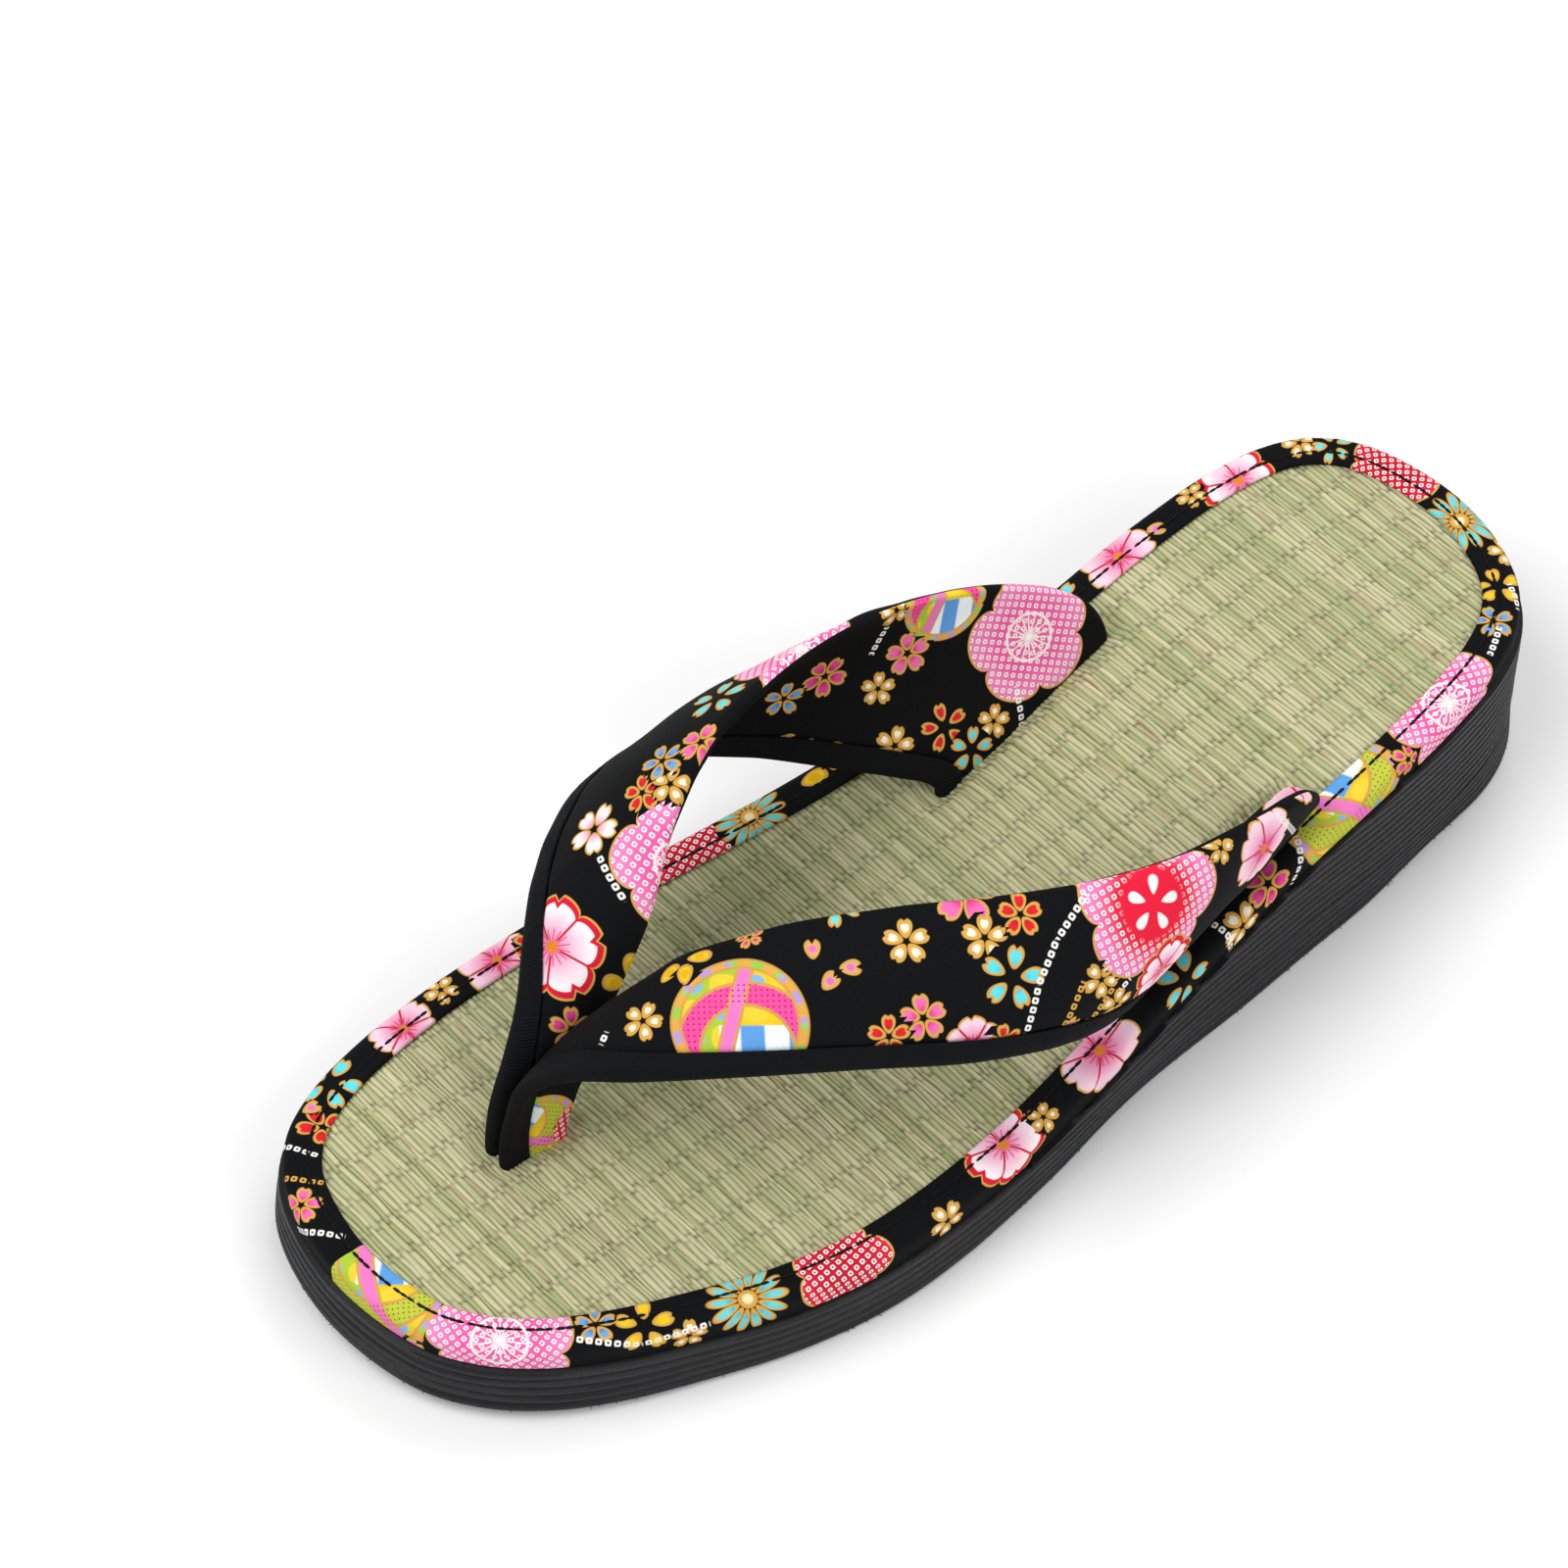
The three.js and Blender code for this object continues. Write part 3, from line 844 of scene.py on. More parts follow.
    def _tread(self, material: bpy.types.Material) -> None:
        """Cross bars in the field under the sole, each a copy of one bar.

        Args:
            material: the foam's finish.
        """
        last = self.last
        clear, ends, near_row = 0.6, 1.0, 1.2
        flat = last.outline(1600, self.rim + clear)[0]
        Workbench.clear()
        bpy.ops.mesh.primitive_cube_add(size=2.0)
        bpy.ops.object.mode_set(mode="EDIT")
        bpy.ops.mesh.select_all(action="SELECT")
        bpy.ops.mesh.subdivide(number_cuts=3)
        bpy.ops.object.mode_set(mode="OBJECT")
        points, faces = Workbench.take_model()
        points[points[:, 2] < -0.5, 1] *= self.tread_sides
        half = self.tread_depth / 2
        places, axes = [], []
        for y in np.arange(flat[:, 1].min() + 4, flat[:, 1].max() - 3, self.tread_pitch):
            near = flat[np.abs(flat[:, 1] - y) < near_row, 0]
            left, right = near[near < 0], near[near > 0]
            if not len(left) or not len(right):
                continue
            x0, x1 = left.max() + ends, right.min() - ends
            rise = float(last.spring(np.array([y]))[0])
            places.append([(x0 + x1) / 2, y, rise + half + 0.02])
            axes.append(np.diag([(x1 - x0) / 2, self.tread_width / 2, half]))
        tread = Workbench.copies("sole_tread", (points, faces), places, axes)
        Workbench.hand_over(tread, material, "foam")

    def _burrs(self, material: bpy.types.Material) -> None:
        """Short torn slivers along the cut lower edge of the foam.

        Args:
            material: the foam's finish.
        """
        draw = np.random.default_rng(17)
        steps, count = 3000, self.burrs
        thick, thin = 0.09, 0.07
        flat, normal, _ = self.last.outline(steps)
        pick = draw.integers(0, steps, count)
        flare = smooth_table(self.last.flare, flat[pick, 1])
        base = flat[pick] + normal[pick] * (self.last.proud - self.groove + flare)[:, None]
        rise = self.last.spring(base[:, 1]) + draw.uniform(0.15, 0.55, count)
        along = np.column_stack([-normal[pick, 1], normal[pick, 0], np.zeros(count)])
        out = np.column_stack([normal[pick], draw.uniform(-0.25, 0.5, count)])
        aim = unit(out + along * draw.uniform(-1.2, 1.2, count)[:, None])
        side = unit(np.cross(aim, [0, 0, 1.0]))
        length = draw.uniform(0.3, 0.85, count)[:, None]
        places = np.column_stack([base, rise]) + aim * length * 0.5
        axes = np.stack([side * thick, np.cross(aim, side) * thin, aim * length], 1)
        burrs = Workbench.copies("foam_burrs", Workbench.ball(4, 2), places, axes)
        Workbench.hand_over(burrs, material, "foam")


# Straps: shape of the bands


class Side(Enum):
    """Which half of the strap."""

    OUTER = 1
    INNER = -1


@dataclass(frozen=True)
class Band:
    """One half of the strap, from the toe post to its slit."""

    side: Side
    post: tuple[float, float, float, float]
    slit: tuple[float, float, float, float]
    # x, y, z of the bound front edge and of the folded rear edge, on the middle of the thickness
    rows: tuple[tuple[float, ...], ...]
    crown: float = 1.6

    def _foot(self, end: tuple[float, float, float, float], lift: float) -> list[float]:
        """A row at one end, at a height from the footbed's surface.

        Args:
            end: x and y of the bound edge, then of the folded edge.
            lift: height from the footbed's surface.

        Returns:
            x, y and z of both edges.
        """
        fx, fy, rx, ry = end
        height = LAST.rest(np.array([fy, ry])) + lift
        return [fx, fy, height[0], rx, ry, height[1]]

    def edges(self, share: np.ndarray) -> tuple[np.ndarray, np.ndarray]:
        """Front and rear edge at shares of the way from post to slit.

        Args:
            share: the shares, from 0 to 1.

        Returns:
            Points of the front edge and of the rear edge.
        """
        sunk = -LAST.board
        rows = np.array(
            [self._foot(self.post, sunk), self._foot(self.post, 0), *self.rows,
             self._foot(self.slit, 0), self._foot(self.slit, sunk)]
        )
        return curve_through(rows[:, :3], share), curve_through(rows[:, 3:], share)

    def sections(self, share: np.ndarray) -> tuple[np.ndarray, np.ndarray, np.ndarray, np.ndarray]:
        """Everything that places a section.

        Args:
            share: shares of the way from post to slit.

        Returns:
            Front edge, direction across, outward direction and width.
        """
        reach = 0.01
        front, rear = self.edges(share)
        width = np.linalg.norm(rear - front, axis=1)
        across = unit(rear - front)
        ahead = sum(self.edges(np.clip(share + reach, 0, 1))) / 2
        behind = sum(self.edges(np.clip(share - reach, 0, 1))) / 2
        outward = unit(np.cross(ahead - behind, across)) * self.side.value
        return front, across, outward, width

    def bow(self, share: np.ndarray, distance: np.ndarray, width: np.ndarray) -> np.ndarray:
        """How far the band's middle stands out, at a distance from the front edge."""
        return self.crown * np.sin(np.pi * share) * np.sin(np.pi * distance / width)

    def flatten(self, share: np.ndarray) -> tuple[np.ndarray, np.ndarray]:
        """Lay the band flat without stretching it.

        Args:
            share: shares of the way from post to slit.

        Returns:
            The flat places of the front edge and of the rear edge, mm.
        """
        front, rear = self.edges(share)
        flat_front = [np.zeros(2)]
        flat_rear = [np.array([0.0, np.linalg.norm(rear[0] - front[0])])]

        def third(
            a: np.ndarray, b: np.ndarray, from_a: np.ndarray, from_b: np.ndarray
        ) -> np.ndarray:
            """The point as far from a and b as two lines are long, on the side of growing u.

            Args:
                a: the first point.
                b: the second point.
                from_a: a line as long as the way from a.
                from_b: a line as long as the way from b.

            Returns:
                The point.
            """
            from_a, from_b = np.linalg.norm(from_a), np.linalg.norm(from_b)
            line = b - a
            span = np.linalg.norm(line)
            x = (from_a**2 - from_b**2 + span**2) / (2 * span)
            y = math.sqrt(max(0.0, from_a**2 - x**2))
            e = line / span
            return a + e * x + np.array([e[1], -e[0]]) * y

        for k in range(len(share) - 1):
            f, r = flat_front[-1], flat_rear[-1]
            new_rear = third(f, r, rear[k + 1] - front[k], rear[k + 1] - rear[k])
            new_front = third(f, new_rear, front[k + 1] - front[k], front[k + 1] - rear[k + 1])
            flat_front.append(new_front)
            flat_rear.append(new_rear)
        return np.array(flat_front), np.array(flat_rear)


OUTER_BAND = Band(
    Side.OUTER,
    post=(-3.9, -87.0, -3.4, -73.8),
    slit=(30.9, 14.6, 30.2, 57.2),
    rows=(
        (-3.9, -86.6, 19.0, -3.4, -72.4, 19.5), (-3.6, -85.4, 25.0, -3.3, -69.2, 26.5),
        (-2.6, -83.2, 32.6, -2.8, -63.4, 36.4), (3.8, -79.3, 41.0, 2.0, -52.6, 47.8),
        (14.3, -71.7, 45.8, 10.6, -39.0, 55.2), (25.2, -58.8, 47.3, 20.9, -23.8, 58.4),
        (35.6, -42.4, 45.9, 30.9, -8.0, 58.7), (44.4, -25.1, 42.0, 37.9, 7.6, 57.2),
        (48.0, -8.4, 36.6, 41.4, 24.0, 54.4), (45.8, 4.0, 31.0, 41.2, 39.0, 50.8),
        (42.0, 10.6, 26.8, 39.4, 50.4, 45.4), (39.2, 13.4, 24.4, 37.6, 55.8, 39.2),
        (36.8, 14.6, 22.9, 35.6, 57.4, 35.0), (33.4, 14.8, 22.2, 32.4, 57.4, 33.4),
    ),
)
INNER_BAND = Band(
    Side.INNER,
    post=(-7.9, -87.0, -5.4, -73.8),
    slit=(-14.6, 16.0, -17.0, 56.4),
    rows=(
        (-7.9, -86.6, 19.0, -5.4, -72.4, 19.5), (-8.2, -85.2, 25.0, -5.5, -69.0, 26.5),
        (-9.2, -81.6, 32.4, -5.9, -61.4, 35.6), (-13.2, -75.4, 38.8, -8.8, -50.4, 46.8),
        (-20.8, -67.6, 41.8, -15.0, -39.8, 57.6), (-31.1, -56.5, 42.8, -20.9, -27.2, 62.6),
        (-39.2, -42.5, 41.9, -25.2, -12.0, 62.2), (-40.8, -27.4, 38.4, -28.4, 2.9, 58.7),
        (-34.6, -12.6, 33.6, -29.4, 18.3, 54.4), (-24.8, 0.8, 28.8, -27.2, 33.9, 49.7),
        (-18.4, 10.2, 24.6, -23.2, 47.3, 43.4), (-15.8, 14.8, 21.8, -19.2, 54.6, 36.6),
    ),
)
FACE_OFFSET = 500.0  # where the inner face's flat coordinates begin, mm


@dataclass
class StrapHalf:
    """Printed cotton over a pad, with a tongue under the bias tape and a folded rear edge; mm."""

    band: Band
    name: str
    sections: int = 190
    across: int = 30
    fold_steps: int = 6
    half: float = 1.3
    tongue: float = 0.5
    puff: float = 0.3
    pad_start: float = 6.2
    # distance from the front edge and lift of the cloth that goes under the tape
    lead: tuple[tuple[float, float], ...] = (
        (0.9, 0.0), (0.95, 0.35), (1.2, 0.5), (4.6, 0.5), (5.25, 0.62), (5.6, 0.98), (6.2, 1.3),
    )
    uneven: float = 0.16
    uneven_pitch: float = 15.0
    pucker: float = 0.1
    pucker_pitch: float = 5.0

    def _section(self, width: float) -> tuple[np.ndarray, np.ndarray, np.ndarray, np.ndarray]:
        """The closed section at a width.

        Args:
            width: distance between the edges.

        Returns:
            Distance from the front edge, lift, distance on the cloth, and 1 on the inner face.
        """
        half, start = self.half, self.pad_start
        lead = np.array(self.lead)
        body = np.linspace(start, width - half, self.across)[1:]
        arch = np.maximum(0, np.sin(np.pi * (body - start) / (width - half - start)))
        puffed = half + self.puff * arch**0.7
        turn = np.radians(np.linspace(90, 0, self.fold_steps)[1:])
        fold = np.column_stack([width - half + half * np.cos(turn), half * np.sin(turn)])
        face = np.vstack([lead, np.column_stack([body, puffed]), fold])
        cloth = np.concatenate([lead[:, 0], body, width - half + half * (np.pi / 2 - turn)])
        inner = np.concatenate([np.zeros(len(face)), np.ones(len(face))])
        both = np.vstack([face, face[::-1] * [1, -1]])
        return both[:, 0], both[:, 1], np.concatenate([cloth, cloth[::-1]]), inner

    def surface(self) -> tuple[np.ndarray, np.ndarray]:
        """Points of the padded cloth and their flat coordinates.

        Returns:
            Sections by columns of points, and the same of flat coordinates.
        """
        share = np.linspace(0, 1, self.sections)
        front, across, outward, width = self.band.sections(share)
        flat_front, flat_rear = self.band.flatten(share)
        flat_across = unit(flat_rear - flat_front)
        points, chart = [], []
        for k in range(self.sections):
            distance, lift, cloth, inner = self._section(width[k])
            flat = flat_front[k] + flat_across[k] * cloth[:, None]
            u, v = flat.T
            away = np.clip((distance - 5.5) / 3, 0, 1) * math.sin(math.pi * share[k]) ** 0.5
            uneven = ripple(u, v, self.uneven_pitch, 11) * self.uneven * away
            edges = falloff(distance - 6.4, 2.2) + falloff(width[k] - distance, 3.0)
            pucker = ripple(u, v * 0.3, self.pucker_pitch, 12) * self.pucker * edges
            outwards = np.where(lift == 0, 0, np.where(inner > 0.5, -1.0, 1.0))
            bow = self.band.bow(share[k], distance, width[k])
            rise = lift + bow + (uneven + pucker) * outwards
            points.append(front[k] + across[k] * distance[:, None] + outward[k] * rise[:, None])
            chart.append(flat + np.column_stack([inner * FACE_OFFSET, np.zeros(len(inner))]))
        points, chart = np.array(points), np.array(chart)
        points = np.concatenate([points, points[:, :1]], 1)
        return points, np.concatenate([chart, chart[:, -1:]], 1)

    def build(self) -> bpy.types.Object:
        """Build the padded half."""
        points, chart = self.surface()
        return Workbench.lofted(self.name, points, {"cloth": chart}, caps=True)


@dataclass
class BiasBinding:
    """Black bias tape folded over the front edge of a strap half, with its stitches; mm."""

    band: Band
    name: str
    node: str
    sections: int = 190
    depth: float = 5.3
    half: float = 1.45
    cloth: float = 0.55
    swell: float = 0.07
    swell_pitch: float = 6.0
    stitch_line: float = 3.9
    stitch_pitch: float = 1.25
    # half length, half width and half height of a stitch
    stitch_size: tuple[float, float, float] = (0.42, 0.15, 0.14)

    def _section(self) -> tuple[np.ndarray, np.ndarray, np.ndarray]:
        """The closed section of the folded tape.

        Returns:
            Distance from the front edge, lift, and place across the tape.
        """
        half, inside = self.half, self.half - self.cloth
        outer = np.array([
            [0.12, 0.6], [0.4, 1.05], [0.9, 1.32], [1.8, half], [3.2, half + 0.03],
            [3.9, half - 0.06], [4.6, half + 0.02], [5.1, half - 0.05], [self.depth, half - 0.25],
            [self.depth - 0.02, inside], [self.cloth + 0.3, inside], [self.cloth, 0.5],
        ])
        fold = [[0.0, 0.0]]
        section = np.vstack([fold, outer, [[self.cloth, 0.0]], (outer * [1, -1])[::-1], fold])
        step = np.linalg.norm(np.diff(section, axis=0), axis=1)
        return section[:, 0], section[:, 1], np.concatenate([[0], np.cumsum(step)])

    def build(self, tape: bpy.types.Material, thread: bpy.types.Material) -> None:
        """Build the tape and its stitches.

        Args:
            tape: finish of the tape.
            thread: finish of the thread.
        """
        share = np.linspace(0, 1, self.sections)
        front, across, outward, width = self.band.sections(share)
        distance, lift, strip = self._section()
        step = np.linalg.norm(np.diff(front, axis=0), axis=1)
        walked = np.concatenate([[0], np.cumsum(step)])
        points, chart = [], []
        for k in range(self.sections):
            u = np.full_like(strip, walked[k])
            swell = self.swell * ripple(u, strip, self.swell_pitch, 21) * (np.abs(lift) > 0.95)
            bow = self.band.bow(share[k], distance, width[k])
            rise = lift + bow + swell * np.sign(lift)
            points.append(front[k] + across[k] * distance[:, None] + outward[k] * rise[:, None])
            chart.append(np.column_stack([u, strip]))
        chart = {"tape": np.array(chart)}
        piece = Workbench.lofted(self.name, np.array(points), chart, caps=True)
        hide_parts(self.node)
        Workbench.hand_over(piece, tape, "bias")
        self._stitches(walked[-1], thread)

    def _stitches(self, length: float, thread: bpy.types.Material) -> None:
        """Lay the small stitches on both faces of the tape.

        Args:
            length: length of the front edge.
            thread: finish of the thread.
        """
        share = np.linspace(0.05, 0.95, int(length / self.stitch_pitch))
        front, across, outward, width = self.band.sections(share)
        bow = self.band.bow(share, self.stitch_line, width)
        base = front + across * self.stitch_line + outward * bow[:, None]
        along = unit(np.gradient(base, axis=0))
        long, wide, high = self.stitch_size
        size = np.stack([along * long, np.cross(outward, along) * wide, outward * high], 1)
        places = [base + outward * (face * (self.half - 0.08)) for face in (1, -1)]
        stitches = Workbench.copies(
            f"{self.name}_stitches", Workbench.ball(6, 4), np.concatenate(places),
            np.concatenate([size, size]),
        )
        Workbench.hand_over(stitches, thread, "bias")


# Footbed


@dataclass
class RushMat:
    """The footbed: rush reeds woven crosswise over cotton warps, on a thin board; mm."""

    last: Last = LAST
    tuck: float = 1.4
    end_gap: float = 0.6
    reed_pitch: float = 0.93
    reed_height: float = 0.3
    # share of a reed's pitch, and share of its height there
    reed: tuple[tuple[float, float], ...] = ((0.0, 0.0), (0.24, 0.85), (0.54, 1.0), (0.82, 0.72))
    lean: float = 3.07
    wander: float = 0.13
    warps: tuple[float, float] = (-39.0, 56.0)
    warp_pitch: float = 6.6
    warp_columns: tuple[float, ...] = (-1.3, -0.6, 0.0, 0.6, 1.3, 3.3)
    # half the distance between the marks of neighbouring reeds, and half length of a mark; a mark
    # is where a reed dips under a warp, lowered and painted with shade
    mark_step: float = 0.6
    mark: float = 0.52
    column_gap: float = 0.02
    slot_depth: float = 1.5
    seed: int = 5

    def _span(self, flat: np.ndarray, y: float) -> tuple[float, float] | None:
        """Where a leaning line across the footbed meets the mat's edge.

        Args:
            flat: the mat's outline.
            y: where the line crosses the middle.

        Returns:
            Its two ends, or None beyond the mat.
        """
        level = flat[:, 1] - flat[:, 0] * math.tan(math.radians(self.lean)) - y
        after = np.roll(level, -1)
        cross = np.nonzero((level > 0) != (after > 0))[0]
        if len(cross) < 2:
            return None
        share = level[cross] / (level[cross] - after[cross])
        following = np.roll(flat[:, 0], -1)[cross]
        x = flat[cross, 0] + (following - flat[cross, 0]) * share
        return float(x.min()), float(x.max())

    def _pulled_down(self, x: np.ndarray, y: np.ndarray) -> np.ndarray:
        """How far the reeds are pulled down beside the strap's slots.

        Args:
            x: places across the mat.
            y: places along it.

        Returns:
            The depth at each place.
        """
        clear, soft = 1.4, 1.5
        depth = np.zeros(len(x))
        for end in (OUTER_BAND.post, INNER_BAND.post, OUTER_BAND.slit, INNER_BAND.slit):
            a, b = np.array(end[:2]), np.array(end[2:])
            line = b - a
            share = ((x - a[0]) * line[0] + (y - a[1]) * line[1]) / (line @ line)
            share = np.clip(share, 0, 1)
            away = np.hypot(x - a[0] - share * line[0], y - a[1] - share * line[1])
            depth = np.maximum(depth, falloff(np.maximum(0, away - clear), soft))
        return depth * self.slot_depth

    def build(self, material: bpy.types.Material) -> None:
        """Build the mat.

        Args:
            material: the rush finish.
        """
        last = self.last
        draw = np.random.default_rng(self.seed)
        flat = last.outline(2400, last.binding - self.tuck)[0]
        slope = math.tan(math.radians(self.lean))
        warps = np.arange(*self.warps, self.warp_pitch)
        columns = np.sort(np.concatenate([warps + d for d in self.warp_columns]))
        rank = np.arange(len(columns))
        order = np.abs(columns[:, None] - warps[None]).argmin(1)
        nearest = warps[order]
        y, count = flat[:, 1].min() + self.end_gap, 0
        points, chart, tint_shade_rows = [], [], []
        while y < flat[:, 1].max() - self.end_gap:
            pitch = self.reed_pitch * draw.uniform(0.72, 1.28)
            height = self.reed_height * draw.uniform(0.6, 1.35)
            tint, phase = draw.uniform(), draw.uniform(0, 6.28)
            sunk = draw.uniform(0.5, 1.0, len(warps))[order]
            part = draw.uniform(-0.2, 0.2, len(warps) + 1)[order + (columns > nearest)]
            bound = nearest + self.mark_step * (1 - 2 * ((count + order) % 2))
            under = falloff(columns - bound, self.mark) * sunk
            for at, rise in self.reed:
                line = y + at * pitch
                ends = self._span(flat, line)
                if ends is None:
                    continue
                x = np.maximum(columns, ends[0] + self.column_gap * rank)
                x = np.minimum(x, ends[1] - self.column_gap * rank[::-1])
                wander = self.wander * np.sin(x * np.pi / self.warp_pitch + phase)
                inside = np.minimum(1, np.minimum(x - ends[0], ends[1] - x) / 1.2)
                yy = line + x * slope + wander * inside
                top = last.rest(yy) - self.reed_height + rise * height * (1 - 0.75 * under)
                top -= self._pulled_down(x, yy) + 0.06 * falloff(columns - nearest, 0.9)
                base_x = np.array([ends[1], ends[1] * 0.3 + ends[0] * 0.7, ends[0]])
                base_y = line + base_x * slope
                base = np.column_stack([base_x, base_y, last.rest(base_y) - last.board])
                row = np.vstack([np.column_stack([x, yy, top]), base, [[x[0], yy[0], top[0]]]])
                points.append(row)
                chart.append(np.column_stack([row[:, 0], np.full(len(row), line)]))
                # painted shade: dark where the reed dips under a warp, and in the valleys between
                # reeds, darker the lower the row
                mark = under * (1.0 if rise < 0.9 else 0.4)
                shade = np.column_stack([tint + part, np.maximum(mark, 0.66 * (1 - rise))])
                board = np.column_stack([shade[[-1] * 3, 0], [0, 0, 0]])
                tint_shade_rows.append(np.vstack([shade, board, shade[:1]]))
            y += pitch
            count += 1
        charts = {"reed": np.array(chart), "reed_tint_and_shade": np.array(tint_shade_rows)}
        mat = Workbench.lofted("rush_mat", np.array(points), charts, caps=True)
        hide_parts("insole")
        Workbench.hand_over(mat, material, "tatami")
        LOG.info("rush mat of %d reeds", count)


@dataclass
class FootbedBinding:
    """Printed cotton over the footbed's edge, held by one running stitch; mm."""

    last: Last = LAST
    columns: int = 1100
    stitch_out: float = -4.35
    stitch_up: float = 0.97
    stitch_length: float = 4.6
    stitch_gap: float = 0.75
    stitch_parts: int = 3
    stitch_half: tuple[float, float] = (0.3, 0.22)
    # outwards from the outline, upwards from the rush, place across the cloth
    section: tuple[tuple[float, float, float], ...] = (
        (-6.75, 0.28, -0.5), (-6.72, 0.62, -0.15), (-6.5, 0.86, 0.2), (-6.1, 0.98, 0.6),
        (-5.4, 1.02, 1.3), (-4.85, 0.99, 1.85), (-4.35, 0.9, 2.35), (-3.85, 0.98, 2.85),
        (-3.2, 1.03, 3.5), (-2.5, 1.03, 4.2), (-1.8, 0.97, 4.9), (-1.2, 0.78, 5.5),
        (-0.65, 0.42, 6.2), (-0.25, -0.1, 6.8), (-0.05, -0.75, 7.5), (0.0, -1.5, 8.2),
        (0.0, -2.3, 9.0), (0.0, -3.2, 9.9), (0.0, -4.15, 10.8), (-0.65, -4.15, 11.5),
        (-0.7, -1.2, 14.4), (-0.75, 0.28, 16.0), (-3.5, 0.28, 18.8),
    )
    cloth_end: float = 21.5

    def surface(self) -> tuple[np.ndarray, np.ndarray]:
        """Points of the cloth and their flat coordinates, both with their closing rows.

        Returns:
            Rows by columns of points, and the same of flat coordinates.
        """
        flat, normal, walked = self.last.outline(self.columns)
        length = walked[1] * self.columns
        bend = np.linalg.norm(np.roll(normal, -6, 0) - np.roll(normal, 6, 0), axis=1)
        gather = np.clip(bend / bend.max(), 0, 1) ** 1.5
        rows, chart = [], []
        for out, up, across in self.section:
            on_top = math.exp(-(((across - 4.2) / 3.6) ** 2))
            row = np.full_like(walked, across)
            pucker = gather * 0.14 * ripple(walked, row * 0.4, 4.2, 31) * on_top
            soft = 0.07 * ripple(walked, row, 14.0, 32) * on_top
            place = flat + normal * out
            height = self.last.rest(place[:, 1]) + up + pucker + soft
            rows.append(np.column_stack([place, height]))
            chart.append(np.column_stack([walked, row]))
        points, chart = np.array(rows), np.array(chart)
        points = np.concatenate([points, points[:, :1]], 1)
        chart = np.concatenate([chart, chart[:, :1] + [length, 0]], 1)
        seam = chart[:1].copy()
        seam[..., 1] = self.cloth_end
        return np.concatenate([points, points[:1]]), np.concatenate([chart, seam])

    def build(self) -> bpy.types.Object:
        """Build the cloth."""
        points, chart = self.surface()
        return Workbench.lofted("printed_binding", points, {"cloth": chart})

    def sew(self, thread: bpy.types.Material) -> None:
        """Lay the running stitch.

        Args:
            thread: finish of the thread.
        """
        steps, parts = 4000, self.stitch_parts
        flat, normal, walked = self.last.outline(steps)
        length = walked[1] * steps
        count = round(length / (self.stitch_length + self.stitch_gap))
        at = (np.arange(count) + 0.5) / count * steps
        span = self.stitch_length / 2 / length * steps
        wide, high = self.stitch_half
        places, axes = [], []
        for k in at:
            ends = [int(k - span + 2 * span * j / parts) % steps for j in range(parts + 1)]
            line = flat[ends] + normal[ends] * self.stitch_out
            line = np.column_stack([line, self.last.rest(line[:, 1]) + self.stitch_up])
            for a, b in zip(line[:-1], line[1:]):
                run = (b - a) / 2
                side = np.cross(unit(run[None])[0], [0, 0, 1.0])
                places.append((a + b) / 2)
                axes.append([run * 1.2, side * wide, [0, 0, high]])
        stitches = Workbench.copies("binding_stitches", Workbench.ball(8, 6), places, axes)
        Workbench.hand_over(stitches, thread, "bias")


# The print


class Motif(Enum):
    """Kinds of printed motif."""

    GROUND = 0
    PETALS = 1
    BLOSSOM = 2
    KANOKO = 3
    TEMARI = 4
    DOTS = 5


@dataclass(frozen=True)
class Look:
    """How one motif is drawn; lengths in shares of its radius."""

    motif: Motif
    radius: float
    fill: str = "ffffff"
    core: str = "ffffff"
    rim: str = "d9a64e"
    petals: int = 5
    centre: float = 0.56
    half: float = 0.42
    width: float = 0.3
    notch: float = 0.0
    band: float = 0.0
    line: float = 0.38


